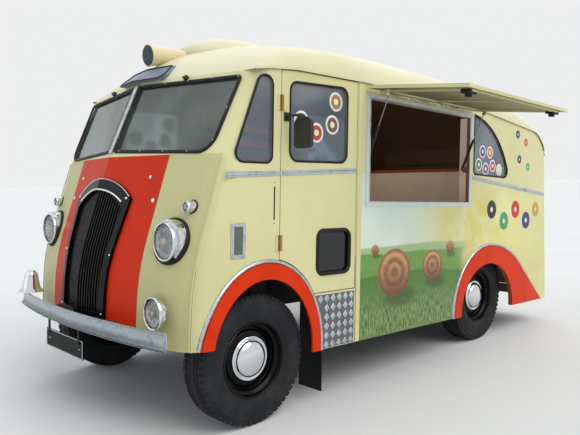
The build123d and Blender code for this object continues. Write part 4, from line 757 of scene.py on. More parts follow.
def arc_through(start, over, end, steps=16):
    """Points of the arc from start over a point between to end."""
    a, b, c = Vector(start), Vector(over), Vector(end)
    d = 2 * (a.x * (b.y - c.y) + b.x * (c.y - a.y) + c.x * (a.y - b.y))
    far_a, far_b, far_c = a.length_squared, b.length_squared, c.length_squared
    centre = Vector(((far_a * (b.y - c.y) + far_b * (c.y - a.y) + far_c * (a.y - b.y)) / d,
                     (far_a * (c.x - b.x) + far_b * (a.x - c.x) + far_c * (b.x - a.x)) / d))
    radius = (a - centre).length
    first, between, last = (math.atan2((p - centre).y, (p - centre).x) for p in (a, b, c))
    span = (last - first) % (2 * math.pi)
    if (between - first) % (2 * math.pi) > span:
        span -= 2 * math.pi
    angles = [first + span * k / steps for k in range(steps + 1)]
    return [centre + radius * Vector((math.cos(angle), math.sin(angle))) for angle in angles]


def tangent_arc(start, heading, end, steps=12):
    """Points of the arc that leaves start along heading and reaches end."""
    start, heading, end = Vector(start), Vector(heading).normalized(), Vector(end)
    chord = end - start
    normal = Vector((-heading.y, heading.x))
    radius = chord.length_squared / (2 * chord.dot(normal))
    centre = start + normal * radius
    middle = centre + ((start + end) / 2 - centre).normalized() * abs(radius)
    return arc_through(start, middle, end, steps)


def side_path(points, side=1, y=HALF_WIDTH):
    """Side-view points set on the left wall, or on the right one."""
    return [Vector((point[0], side * y, point[1])) for point in points]


def flat_section(width, height, edge=2.0):
    """A strip's outline: flat behind, its front edges eased."""
    half = width / 2
    return [(-half, 0), (-half, height - edge), (edge - half, height), (half - edge, height),
            (half, height - edge), (half, 0)]


def domed_section(width, height, steps=8):
    """A strip's outline with a rounded face."""
    angles = [math.pi * k / steps for k in range(steps + 1)]
    return [(-width / 2 * math.cos(angle), height * math.sin(angle)) for angle in angles]


def round_section(radius, steps=8):
    """A rod's outline."""
    angles = [2 * math.pi * k / steps for k in range(steps)]
    return [(radius * math.cos(angle), radius * math.sin(angle)) for angle in angles]


def frame_at(path, index, facing, closed):
    """Where the outline stands at one point of a path, its across axis stretched in a corner."""
    count = len(path)
    here = path[index]
    before = path[index - 1] if closed or index else None
    after = path[(index + 1) % count] if closed or index < count - 1 else None
    come = (here - before).normalized() if before is not None else (after - here).normalized()
    leave = (after - here).normalized() if after is not None else come
    along = (come + leave).normalized()
    outward = facing(here) if callable(facing) else facing
    across = along.cross(outward).normalized()
    outward = across.cross(along).normalized()
    stretch = 1 / max(0.35, along.dot(leave))
    return frame_from(across * stretch, outward, along, here)


def points_in(geometry):
    """The vertices among what an operator hands back."""
    return [item for item in geometry if isinstance(item, bmesh.types.BMVert)]


def sweep(bm, path, facing, section, closed=False):
    """Draws an outline at the path's start and extrudes it from point to point."""
    path = [Vector(point) for point in path]
    frames = [frame_at(path, index, facing, closed) for index in range(len(path))]
    if closed:
        frames.append(frames[0])
    verts = [bm.verts.new(frames[0] @ Vector((a, b, 0))) for a, b in section]
    edges = [bm.edges.new((verts[k - 1], verts[k])) for k in range(len(verts))]
    first = edges
    made = list(verts)
    for before, after in zip(frames, frames[1:]):
        grown = bmesh.ops.extrude_edge_only(bm, edges=edges)["geom"]
        verts = points_in(grown)
        kept = set(verts)
        edges = [item for item in grown
                 if isinstance(item, bmesh.types.BMEdge) and kept.issuperset(item.verts)]
        bmesh.ops.transform(bm, matrix=after @ before.inverted(), verts=verts)
        made.extend(verts)
    if closed:
        bmesh.ops.remove_doubles(bm, verts=made, dist=0.02)
    else:
        bmesh.ops.contextual_create(bm, geom=first)
        bmesh.ops.contextual_create(bm, geom=edges)


def spin(bm, profile, centre, axis, steps=48, upright=Vector((0, 0, 1))):
    """Turns a profile of (radius, along) points about an axis; one that ends on the axis is closed behind."""
    profile = list(profile)
    if profile[-1][0] < 0.01 < profile[0][0]:
        profile.append((0.0, profile[0][1]))
    axis = Vector(axis).normalized()
    out = (upright - axis * upright.dot(axis)).normalized()
    centre = Vector(centre)
    verts = [bm.verts.new(centre + out * radius + axis * along) for radius, along in profile]
    edges = [bm.edges.new((verts[k - 1], verts[k])) for k in range(1, len(verts))]
    if profile[0][0] > 0.01 or profile[-1][0] > 0.01:
        edges.append(bm.edges.new((verts[-1], verts[0])))
    bmesh.ops.spin(bm, geom=verts + edges, cent=centre, axis=axis, dvec=(0, 0, 0), angle=2 * math.pi,
                   steps=steps, use_merge=True, use_duplicate=False)


def brick(bm, corner, far_corner, edge=1.5, segments=1):
    """A block between two corners with its edges eased."""
    low = Vector([min(pair) for pair in zip(corner, far_corner)])
    high = Vector([max(pair) for pair in zip(corner, far_corner)])
    made = bmesh.ops.create_cube(bm, size=1.0)["verts"]
    bmesh.ops.scale(bm, vec=high - low, verts=made)
    bmesh.ops.translate(bm, vec=(low + high) / 2, verts=made)
    edges = list({e for v in made for e in v.link_edges})
    return bmesh.ops.bevel(bm, geom=edges, offset=edge, segments=segments, profile=0.5, affect="EDGES",
                           material=-1)["verts"]


def bricks(rows):
    """A new mesh of blocks, each given as brick takes it."""
    bm = bmesh.new()
    for row in rows:
        brick(bm, *row)
    return bm


def slab(bm, outline, push):
    """A flat plate: an outline filled, then drawn out by push."""
    face = bmesh.ops.contextual_create(bm, geom=[bm.verts.new(point) for point in outline])["faces"]
    raised = bmesh.ops.extrude_face_region(bm, geom=face)["geom"]
    bmesh.ops.translate(bm, vec=push, verts=points_in(raised))


def screw(bm, centre, axis, radius=5.0, proud=2.4):
    """A low domed screw head."""
    profile = [(radius, -1.0), (radius, proud * 0.35), (radius * 0.7, proud * 0.85), (0.0, proud)]
    spin(bm, profile, centre, axis, 10, Vector((0.3, 0.2, 1)))


def spaced(path, gap, start=0.5):
    """Points set evenly along a path."""
    points = []
    due = gap * start
    travelled = 0.0
    for a, b in zip(path, path[1:]):
        length = (b - a).length
        while due <= travelled + length:
            points.append(a.lerp(b, (due - travelled) / length))
            due += gap
        travelled += length
    return points


ARCH_X = -76
ARCH_Z = 352
SILL = 310.0


def front_arch(grow, foot=SILL):
    """Side-view points over the front arch, from the nose's lower edge to the sill."""
    half = 373 + grow
    height = 450 + grow
    nose_edge = 442
    first = math.asin((nose_edge - ARCH_Z) / height)
    angles = [first + (math.pi - first) * k / 40 for k in range(41)]
    over = [(ARCH_X + half * math.cos(angle), ARCH_Z + height * math.sin(angle)) for angle in angles]
    return over + [(ARCH_X - half, foot)]


def rear_arch(grow):
    """The rear spat's outline, upright in front and swept down behind."""
    crest_x, crest_z = -2605, 860 + grow
    lead_x, lead_z = -2057 + grow, 330
    bulge = (lead_x - 0.27 * (lead_x - crest_x), lead_z + 0.69 * (crest_z - lead_z))
    lead = arc_through((lead_x, lead_z), bulge, (crest_x, crest_z), 20)
    down = tangent_arc((crest_x, crest_z), (-1, 0), (-3205 - grow * 0.8, 620 + grow * 0.6), 16)
    return [Vector((lead_x, SILL))] + lead + down[1:] + [Vector((-3590 - grow * 1.2, SILL))]


DOOR_WINDOW = rounded([(-240, 1458), (-240, 1916), (-742, 1940), (-742, 1472)], [60, 55, 55, 60])
LOWER_WINDOW = rounded([(-486, 781), (-486, 1047), (-778, 1047), (-778, 781)], 48)
QUARTER_WINDOW = rounded([(180, 1434), (-10, 1925), (-106, 1925), (-106, 1440)], [50, 52, 50, 45])
SCREEN = rounded([(32, 1512), (32, 1932), (876, 1912), (846, 1486)], [14, 14, 20, 95])


def teardrop_window():
    """The rear side light: a long curved hip that turns in to a short heel."""
    hip = arc_through((-2306, 1938), (-2700, 1758), (-2871, 1530), 22)
    turn = (hip[-1] - hip[-2]).normalized()
    heel = tangent_arc(hip[-1], turn, (-2818, 1448), 8)
    return hip + heel[1:] + [Vector((-2330, 1458)), Vector((-2306, 1478))]


# Painting

class Undoable:
    """What the operators share: each can be undone, and stops with an error where it can't finish."""

    bl_options = {"REGISTER", "UNDO"}


class TRUCK_OT_paint(Undoable, bpy.types.Operator):
    """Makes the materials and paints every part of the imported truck"""

    bl_idname = "truck.paint"
    bl_label = "Paint the truck"

    def execute(self, context):
        build_materials(context.scene.truck_settings)
        painted = set()
        for key, names in NODE_PAINT.items():
            for name in names:
                NODES[name].data.materials.clear()
                NODES[name].data.materials.append(MATERIALS[key])
                painted.add(name)
        left = set(NODES) - painted - set(WHEEL_NODES) - {"seats", "front_bumper", "chequer_plates"}
        if left:
            raise RuntimeError(f"no paint for {sorted(left)}")
        return {"FINISHED"}


# Wheels

WHEELS = [(f"{end}_{word}", Vector((hub.x, side * hub.y, hub.z)), side)
          for end, hub in (("front", FRONT_WHEEL), ("rear", REAR_WHEEL)) for side, word in SIDES]
WHEEL_NODES = [f"{name}_{kind}" for name, hub, side in WHEELS for kind in ("tyre", "wheel")]

# Columns: radius, distance from the wheel's middle plane, from the bead to the tread's middle
TYRE_OUTER = [
    (214, 62), (216, 76), (224, 82), (236, 84), (244, 89), (262, 92.5), (288, 94.5), (312, 93), (326, 90.5),
    (330, 91.5), (338, 90), (346, 86), (356, 82), (364, 76), (368, 68), (371, 60), (371, 47), (365, 46),
    (365, 42), (373.5, 41), (375, 26), (369, 25), (369, 21), (376, 20),
]
TYRE_INNER = [(226, -66), (262, -86), (300, -88), (340, -76), (358, -60)]
RIM = [
    (213, 74), (221, 79), (222, 83), (217, 84.5), (210, 80), (206, 72), (204, 58), (192, 50), (186, 44),
    (184, 24), (178, 16), (168, 18), (163, 27), (158, 31), (146, 34), (128, 37), (68, 37), (68, -34),
    (20, -34), (20, 31), (66, 31), (146, 28), (160, 20), (176, 8), (190, 14), (190, -46), (206, -60),
    (208, -72), (218, -80), (222, -78), (213, -70), (213, -66), (198, -40), (198, 40), (212, 62),
]
HUB_CAP = [(128.5, 37), (130, 42), (127, 46), (121, 48), (116, 45.5), (111, 44), (108, 46)]
HUB_CAP += [(107 * math.cos(math.pi * k / 24), 47 + 38 * math.sin(math.pi * k / 24)) for k in range(1, 12)]
HUB_CAP += [(0.0, 85.2), (0.0, 80.0), (104, 40), (124, 35)]


def both_ways(half):
    """Half a tyre's profile, and the same again mirrored on the way back."""
    return half + [(radius, -along) for radius, along in reversed(half)]


class TRUCK_OT_tyres(Undoable, bpy.types.Operator):
    """Makes the four tyres with shoulder blocks and ribs"""

    bl_idname = "truck.tyres"
    bl_label = "Tyres"

    def execute(self, context):
        blocks = context.scene.truck_settings.tread_blocks
        for name, hub, side in WHEELS:
            bm = bmesh.new()
            spin(bm, both_ways(TYRE_OUTER) + both_ways(TYRE_INNER), hub, (0, 1, 0), 72)
            for index in range(blocks):
                for edge, stagger in ((-1, 0.0), (1, 0.5)):
                    made = brick(bm, (-15.5, edge * 69 - 15, 354), (15.5, edge * 69 + 15, 374.5), 2.0)
                    foot = Vector((0, edge * 68, 364))
                    tilt = (Matrix.Translation(foot) @ Matrix.Rotation(-edge * 0.17, 4, "X")
                            @ Matrix.Translation(-foot))
                    turn = Matrix.Rotation(2 * math.pi * (index + stagger) / blocks, 4, "Y")
                    bmesh.ops.transform(bm, matrix=Matrix.Translation(hub) @ turn @ tilt, verts=made)
            tyre = new_piece(f"{name}_tyre_tread", bm, "tyre", f"{name}_wheel", 30)
            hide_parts(f"{name}_tyre")
        return {"FINISHED"}


class TRUCK_OT_rims(Undoable, bpy.types.Operator):
    """Makes the black steel wheels with their nuts and valves, and the hub caps"""

    bl_idname = "truck.rims"
    bl_label = "Wheels and hub caps"

    def execute(self, context):
        for name, hub, side in WHEELS:
            facing = Vector((0, side, 0))
            bm = bmesh.new()
            spin(bm, RIM, hub, facing, 72)
            for index in range(5):
                angle = 2 * math.pi * (index + 0.5) / 5
                spot = hub + Vector((138 * math.sin(angle), side * 33, 138 * math.cos(angle)))
                spin(bm, [(8, 0), (8, 4), (5.5, 7), (0, 8)], spot, facing, 12, Vector((0.2, 0, 1)))
            valve = [(5, -6), (5, 16), (3.6, 18), (3.6, 30), (0, 31)]
            spin(bm, valve, hub + Vector((176, side * 20, 0)), (-0.35, side, 0), 10)
            wheel = new_piece(f"{name}_rim", bm, "gloss", f"{name}_wheel", 30)
            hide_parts(f"{name}_wheel")
            bm = bmesh.new()
            spin(bm, HUB_CAP, hub, facing, 64)
            new_piece(f"{name}_hub_cap", bm, "chrome", f"{name}_wheel", 50)
        return {"FINISHED"}


# Windows

class TRUCK_OT_seals(Undoable, bpy.types.Operator):
    """Makes the rubbers round all the windows, the screens' screws and the pillar between the screens"""

    bl_idname = "truck.seals"
    bl_label = "Window rubbers"

    def execute(self, context):
        width = context.scene.truck_settings.seal_width * MM
        for side, word in SIDES:
            bm = bmesh.new()
            path = [on_nose(side * y, z, -1.0) for y, z in SCREEN]
            outward = nose_facing(side * 400, 1700)
            sweep(bm, path, outward, domed_section(width, 13), True)
            new_piece(f"{word}_screen_rubber", bm, "rubber")
            bm = bmesh.new()
            for spot in spaced(path + path[:1], 200):
                screw(bm, spot + outward * 12, outward, 4.0)
            new_piece(f"{word}_screen_screws", bm, "aluminium")
            # Columns: name, outline, width, height, body
            for name, outline, band, height, body in [
                ("door_rubber", DOOR_WINDOW, 15, 5, f"{word}_door"),
                ("lower_rubber", LOWER_WINDOW, 26, 15, f"{word}_door"),
                ("quarter_rubber", QUARTER_WINDOW, 13, 5, "body"),
                ("teardrop_rubber", teardrop_window(), 15, 6, "body"),
            ]:
                bm = bmesh.new()
                path = side_path(outline, side, HALF_WIDTH - 0.5)
                sweep(bm, path, Vector((0, side, 0)), domed_section(band, height), True)
                new_piece(f"{word}_{name}", bm, "rubber", body)
        bm = bmesh.new()
        middle = [on_nose(0, z, -6.0) for z in (1497, 1600, 1720, 1840, 1947)]
        sweep(bm, middle, Vector((1, 0, SCREEN_RAKE)).normalized(), flat_section(36, 17, 5))
        new_piece("screen_pillar", bm, "aluminium")
        return {"FINISHED"}


class TRUCK_OT_stickers(Undoable, bpy.types.Operator):
    """Makes the round stickers on the glass of the cab doors and the rear side lights"""

    bl_idname = "truck.stickers"
    bl_label = "Window stickers"

    def execute(self, context):
        glass_y = (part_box("left_door_glass")[1].y - SHIFT.y) * MM
        for side, word in SIDES:
            for name, rows, body in [
                ("door_stickers", DOOR_STICKERS, f"{word}_door"),
                ("side_stickers", SIDE_STICKERS, "body"),
            ]:
                bm = bmesh.new()
                for x, z, radius, tint in rows:
                    edge = radius * MM
                    spin(bm, [(edge, 0.1), (edge, 0.6), (edge - 0.4, 0.9), (0, 0.9)],
                         (x * MM, side * glass_y, z * MM), (0, side, 0), 32)
                new_piece(f"{word}_{name}", bm, "sticker", body)
        return {"FINISHED"}


# Trims

class TRUCK_OT_trims(Undoable, bpy.types.Operator):
    """Makes the bright mouldings, waist strips, joint strips and corner beads with their screws"""

    bl_idname = "truck.trims"
    bl_label = "Mouldings"

    def execute(self, context):
        gap = context.scene.truck_settings.screw_gap * MM
        for side, word in SIDES:
            facing = Vector((0, side, 0))
            bm = bmesh.new()
            heads = bmesh.new()
            for points in (front_arch(84), rear_arch(12)):
                path = [on_side(point[0], point[1], side) for point in points]
                sweep(bm, path, side_facing, domed_section(23, 13))
                for spot in spaced(path, gap * 0.8):
                    outward = side_facing(spot)
                    screw(heads, spot + outward * 12, outward, 4.0)
            new_piece(f"{word}_arch_mouldings", bm, "aluminium")
            new_piece(f"{word}_arch_screws", heads, "steel")
            # Columns: name, ends in side view, body
            for name, ends, body in [
                ("waist_front", [(221, 1362), (-166, 1385)], "body"),
                ("waist_door", [(-182, 1386), (-832, 1426)], f"{word}_door"),
                ("waist_rear", [(-2292, 1428), (-3620, 1314)], "body"),
            ]:
                bm = bmesh.new()
                path = side_path(ends, side)
                sweep(bm, path, facing, flat_section(30, 4, 1.2))
                sweep(bm, [spot + facing * 3 for spot in path], facing, domed_section(12, 5))
                for spot in spaced(path, gap):
                    screw(bm, spot + facing * 7.4, facing, 4.0, 2.0)
                new_piece(f"{word}_{name}", bm, "aluminium", body)
            bm = bmesh.new()
            sweep(bm, side_path([(-871, 312), (-871, 1985)], side), facing, flat_section(42, 5, 1.5))
            for spot in spaced(side_path([(-871, 330), (-871, 1980)], side, HALF_WIDTH + 4.5), gap * 1.4):
                screw(bm, spot, facing, 4.0, 2.0)
            new_piece(f"{word}_joint_strip", bm, "body")
            bm = bmesh.new()
            levels = [445, 520, 600, 660, 720, 800, 870, 940, 1000, 1100, 1200, 1330, 1472]
            path = [on_nose(side * 915, z, -24) + facing * 29 for z in levels]
            sweep(bm, path, Vector((1, side, 0.2)).normalized(), domed_section(9, 5))
            new_piece(f"{word}_corner_bead", bm, "body")
        return {"FINISHED"}


# Nose

# Columns: y, z, radius, how far the skin under it stands proud of the nose
BUTTONS = [(300, 1228, 8, 22), (285, 900, 6, 20), (262, 560, 6, 20), (504, 1219, 13, 0), (430, 1352, 11, 0)]


class TRUCK_OT_grille(Undoable, bpy.types.Operator):
    """Makes the bright beads over the grille and the dark cowl behind its bars"""

    bl_idname = "truck.grille"
    bl_label = "Grille beads and cowl"

    def execute(self, context):
        bm = bmesh.new()
        # Columns: half width, height at the ends, height in the middle, proud, bead width, bead height
        for half, low, high, proud, width, height in [
            (262, 1204, 1279, 17, 13, 8),
            (318, 1236, 1342, 14, 7, 9),
        ]:
            arc = arc_through((-half, low), (0, high), (half, low), 24)
            path = [on_nose(spot.x, spot.y, proud) for spot in arc]
            sweep(bm, path, Vector((1, 0, 0.3)).normalized(), domed_section(width, height))
        new_piece("grille_bead", bm, "chrome")
        bm = bmesh.new()
        across = 275.0
        fold = across * V_SLOPE
        section = [(-across, -fold), (0, 0), (across, -fold)]
        section += [(y, depth - 6) for y, depth in reversed(section)]
        path = [on_nose(0, z, -75) for z in (520, 640, 760, 880, 1000, 1120, 1250)]
        sweep(bm, path, Vector((1, 0, 0.2)).normalized(), section)
        new_piece("grille_cowl", bm, "chassis")
        return {"FINISHED"}


class TRUCK_OT_nose(Undoable, bpy.types.Operator):
    """Makes the buttons on the nose and the wiper spindles over the screens"""

    bl_idname = "truck.nose"
    bl_label = "Nose fittings"

    def execute(self, context):
        bm = bmesh.new()
        for y, z, radius, stand in BUTTONS:
            profile = [(radius, -1), (radius, 2), (radius * 0.75, 4.5), (radius * 0.5, 4.5),
                       (radius * 0.4, 6.5), (0, 7)]
            for side, word in SIDES:
                spin(bm, profile, on_nose(side * y, z, stand), nose_facing(side * y, z), 18)
        new_piece("nose_buttons", bm, "chrome")
        bm = bmesh.new()
        for side, word in SIDES:
            top = Vector((128, side * 440, 1950))
            spin(bm, [(17, -8), (17, 5), (10, 12), (0, 14)], top, (1, 0, SCREEN_RAKE), 16)
            sweep(bm, [top + Vector((6, -22, 4)), top + Vector((16, 4, 2)), top + Vector((14, 46, -10))],
                  Vector((1, 0, 0.4)), round_section(5.5))
        new_piece("wipers", bm, "trim")
        return {"FINISHED"}


# Lamps

# Columns: name, sides, y, z, rim radius, lens radius, rim face x
LAMPS = [
    ("headlamp", (1, -1), 741, 1004, 105, 95, 462),
    ("sidelamp", (1, -1), 824, 1190, 30, 25, 380),
    ("fog_lamp", (1,), 735, 628, 88, 78, 524),
]
# Columns: inner radius, thickness, outer radius
GASKETS = {"headlamp": (110, 15, 130), "sidelamp": (26, 6, 40)}


class TRUCK_OT_lamps(Undoable, bpy.types.Operator):
    """Makes the lamps' gaskets, bright rims and bulbs"""

    bl_idname = "truck.lamps"
    bl_label = "Lamp fittings"

    def execute(self, context):
        gaskets = bmesh.new()
        rims = bmesh.new()
        bulbs = bmesh.new()
        for name, sides, y, z, rim, glass, rim_x in LAMPS:
            for side in sides:
                centre = Vector((rim_x, side * y, z))
                if name in GASKETS:
                    inner, thick, outer = GASKETS[name]
                    profile = [(inner, -4), (inner, thick), (outer - 4, thick), (outer, thick - 5),
                               (outer, -4)]
                    spin(gaskets, profile, on_nose(side * y, z), nose_facing(side * y, z), 48)
                profile = [(rim + 1, -11), (rim + 2, -9), (rim + 2, -3), (rim - 1, 2.5),
                           (glass + (rim - glass) * 0.36, 4), (glass, 1.5), (glass, -1), (glass + 2, -1),
                           (rim - 1, -10)]
                spin(rims, profile, centre, (1, 0, 0), 64)
                profile = [(glass * 0.16, -13), (glass * 0.16, -9), (glass * 0.1, -6), (0, -5)]
                spin(bulbs, profile, centre, (1, 0, 0), 20)
        new_piece("lamp_gaskets", gaskets, "rubber")
        new_piece("lamp_rims", rims, "chrome")
        new_piece("lamp_bulbs", bulbs, "horn")
        return {"FINISHED"}


# Bumper and plates

BUMPER_FRONT = 650
BUMPER_HALF = 935.0
BUMPER_BOW = 90.0


def bumper_path(low=-BUMPER_HALF, high=BUMPER_HALF, steps=44):
    """Points along the bumper's bow at its middle height, between two widths."""
    radius = (BUMPER_BOW ** 2 + BUMPER_HALF ** 2) / (2 * BUMPER_BOW)
    widths = [high + (low - high) * k / steps for k in range(steps + 1)]
    return [Vector((BUMPER_FRONT - radius + math.sqrt(radius ** 2 - y ** 2), y, 517)) for y in widths]


def bowed_section(depth, half, bulge, steps=10):
    """The bumper's section: a hollow blade with a rounded face, its rim turned back."""
    angles = [math.pi * (k / steps - 0.5) for k in range(steps + 1)]
    front = [(depth - bulge + bulge * math.cos(angle), half * math.sin(angle)) for angle in angles]
    behind = [(x - 4, z * 0.9) for x, z in reversed(front)]
    back = depth - bulge - 8
    return front + [(back, half), (back, half * 0.9)] + behind + [(back, -half * 0.9), (back, -half)]


class TRUCK_OT_bumper(Undoable, bpy.types.Operator):
    """Makes the bowed bumper with its irons and end caps, the front plate's border and the lamp under it"""

    bl_idname = "truck.bumper"
    bl_label = "Bumper and plates"

    def execute(self, context):
        bm = bmesh.new()
        sweep(bm, bumper_path(), Vector((0, 0, 1)), bowed_section(0, 49.5, 13))
        for y in (-350, 350):
            brick(bm, (530, y - 20, 496), (618, y + 20, 538), 3)
        for y in (-600, -200, 200, 600):
            spot = min(bumper_path(), key=lambda point: abs(point.y - y))
            spin(bm, [(11, -3), (11, 1), (7, 4), (0, 5)], spot + Vector((-1, 0, 0)), (1, 0, 0), 16)
        bumper = new_piece("bumper_blade", bm, "bumper")
        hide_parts("front_bumper")
        bm = bmesh.new()
        for low, high in ((868, 934), (-934, -868)):
            sweep(bm, bumper_path(low, high, 6), Vector((0, 0, 1)), bowed_section(4, 50, 13, 8))
        new_piece("bumper_caps", bm, "chrome")
        bm = bmesh.new()
        border = rounded([(-426, 266), (-426, 372), (91, 372), (91, 266)], 6, 3)
        path = [Vector((602, point.x, point.y)) for point in border]
        sweep(bm, path, Vector((1, 0, 0)), flat_section(4, 2, 0.6), True)
        for y in (-380, 45):
            screw(bm, (602, y, 319), (1, 0, 0), 5)
        new_piece("plate_border", bm, "white")
        bm = bmesh.new()
        spin(bm, [(26, 0), (26, 10), (20, 18), (0, 22)], (560, 358, 446), (0.4, 0, -1), 24)
        new_piece("bumper_lamp", bm, "amber_lens")
        return {"FINISHED"}


# Sides

PLATE_LOW = 316.0
PLATE_HIGH = 650.0


def in_arch(x, z):
    """Whether a diamond at this point would run over the arch's moulding."""
    return ((x - ARCH_X) / 490) ** 2 + (max(z - ARCH_Z, 0) / 567) ** 2 < 1


def diamond(bm, x, z, side, pitch):
    """One raised diamond of the tread plate, its top a little smaller than its foot."""
    made = bmesh.ops.create_circle(bm, cap_ends=True, radius=1.0, segments=4)["verts"]
    stand = Matrix.Translation((x, side * 962.9, z)) @ Matrix.Rotation(-side * math.pi / 2, 4, "X")
    bmesh.ops.transform(bm, matrix=stand @ Matrix.Diagonal((pitch * 0.4, pitch * 0.45, 1.0, 1.0)), verts=made)
    face = list({f for v in made for f in v.link_faces})
    tops = points_in(bmesh.ops.extrude_face_region(bm, geom=face)["geom"])
    bmesh.ops.translate(bm, vec=(0, side * 1.8, 0), verts=tops)
    bmesh.ops.scale(bm, vec=(0.8, 1, 0.8), space=Matrix.Translation((-x, -side * 963, -z)), verts=tops)


class TRUCK_OT_tread_plate(Undoable, bpy.types.Operator):
    """Makes the tread plates under the doors and their raised diamonds"""

    bl_idname = "truck.tread_plate"
    bl_label = "Tread plate"

    def execute(self, context):
        pitch = context.scene.truck_settings.diamond_pitch * MM
        edge = [point for point in front_arch(97, PLATE_LOW) if point[0] < -400 and point[1] < PLATE_HIGH]
        outline = [(-471, PLATE_HIGH)] + edge + [(-835, PLATE_LOW), (-835, PLATE_HIGH)]
        for side, word in SIDES:
            bm = bmesh.new()
            slab(bm, side_path(outline, side, 960.4), (0, side * 2.6, 0))
            plate = new_piece(f"{word}_tread_sheet", bm, "tread_plate", smooth=False)
            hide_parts("chequer_plates")
            bm = bmesh.new()
            for row in range(6):
                for column in range(7):
                    x = column * pitch - 810.0
                    z = PLATE_HIGH - 27 - row * pitch
                    if not in_arch(x, z):
                        diamond(bm, x, z, side, pitch)
            new_piece(f"{word}_tread_diamonds", bm, "aluminium", smooth=False)
        return {"FINISHED"}


class TRUCK_OT_vents(Undoable, bpy.types.Operator):
    """Makes the framed mesh vents of the cab and the signal slots behind them"""

    bl_idname = "truck.vents"
    bl_label = "Cab vents"

    def execute(self, context):
        rear, front, low, high = 92, 175, 924, 1095
        outline = rounded([(rear, low), (rear, high), (front, high), (front, low)], 8, 4)
        for side, word in SIDES:
            facing = Vector((0, side, 0))
            frames = bmesh.new()
            sweep(frames, side_path(outline, side), facing, flat_section(22, 6, 2), True)
            for x in (86, 181):
                for z in (918, 1101):
                    screw(frames, (x, side * 965, z), facing, 3.5)
            new_piece(f"{word}_vent_frame", frames, "aluminium")
            wires = bmesh.new()
            brick(wires, (rear, side * 958.5, low), (front, side * 961.5, high), 0.3)
            for column in range(9):
                x = 96 + column * 9.4
                sweep(wires, side_path([(x, 930), (x, 1090)], side, 962), facing, round_section(1.5, 6))
            for level in range(16):
                z = 931 + level * 10.4
                sweep(wires, side_path([(96, z), (171, z)], side, 963.5), facing, round_section(1.5, 6))
            new_piece(f"{word}_vent_mesh", wires, "mesh")
            bm = bmesh.new()
            sweep(bm, side_path([(-126, 1118), (-126, 1308)], side, 959), facing, flat_section(9, 3.4, 1))
            for z in (1098, 1330):
                screw(bm, (-126, side * 960, z), facing, 3.5)
            new_piece(f"{word}_signal_slot", bm, "trim")
        return {"FINISHED"}


class TRUCK_OT_mirrors(Undoable, bpy.types.Operator):
    """Makes the door mirrors' glasses and clamps"""

    bl_idname = "truck.mirrors"
    bl_label = "Mirror fittings"

    def execute(self, context):
        plate = rounded([(-60, -76), (-60, 76), (60, 76), (60, -76)], 24, 5)
        for side, word in SIDES:
            facing = Vector((0, side, 0))
            centre = Vector((-261, side * 1062, 1612))
            bm = bmesh.new()
            slab(bm, [centre + Vector((0, point.x, point.y)) for point in plate], (-2.5, 0, 0))
            new_piece(f"{word}_mirror_face", bm, "silvered", f"{word}_door")
            bm = bmesh.new()
            for z in (1694, 1724):
                screw(bm, (-207, side * 968, z), facing, 5, 3)
            spin(bm, [(13, -2), (13, 3), (9, 8), (0, 9)], (-207, side * 968, 1709), facing, 18)
            bar = [Vector((-250, side * y, 1698)) for y in (1032, 1092)]
            sweep(bm, bar, Vector((1, 0, 0)), round_section(7))
            new_piece(f"{word}_mirror_clamp", bm, "trim", f"{word}_door")
        return {"FINISHED"}


class TRUCK_OT_handles(Undoable, bpy.types.Operator):
    """Makes the handles of the rear doors"""

    bl_idname = "truck.handles"
    bl_label = "Rear handles"

    def execute(self, context):
        height = 1040
        foot = -3740 + 0.0836 * (height - 310)
        for side, word in SIDES:
            y = side * 70
            bm = bmesh.new()
            post = [(20, -2), (20, 3), (14, 8), (9, 10), (9, 34), (0, 35)]
            spin(bm, post, (foot, y, height), (-1, 0, 0.08), 24)
            bar = [Vector((foot - 28, y, 1090)), Vector((foot - 32, y, height)), Vector((foot - 24, y, 985))]
            sweep(bm, bar, Vector((-1, 0, 0)), round_section(7))
            new_piece(f"{word}_rear_handle", bm, "chrome", f"{word}_rear_door")
        return {"FINISHED"}


# Serving hatch

HATCH_AXIS = Vector((0, 968, 1958))
HATCH_OPEN = (Matrix.Translation(HATCH_AXIS) @ Matrix.Rotation(math.radians(84), 4, "X")
              @ Matrix.Translation(-HATCH_AXIS))
HATCH_HINGES = [(-1068, -1360), (-1405, -1730), (-1800, -2130)]
HATCH_BATTENS = [
    ((-2190, 962, 1862), (-1010, 976.2, 1890), 2),
    ((-2190, 962, 1245), (-1010, 976.2, 1273), 2),
    ((-1038, 962, 1275), (-1010, 976.2, 1860), 2),
    ((-2190, 962, 1275), (-2162, 976.2, 1860), 2),
    ((-1614, 964, 1275), (-1590, 976.2, 1860), 2),
]
OPENING_LINING = [
    ((-2262, 868, 1224), (-2240, 933, 1905), 2),
    ((-962, 868, 1224), (-940, 933, 1905), 2),
    ((-2238, 905, 1912), (-964, 933, 1930), 2),
]


def on_hatch(name, bm, material):
    """Swings what is drawn on the closed hatch up to where the hatch stands open."""
    bmesh.ops.transform(bm, matrix=HATCH_OPEN, verts=bm.verts)
    new_piece(name, bm, material, "hatch")


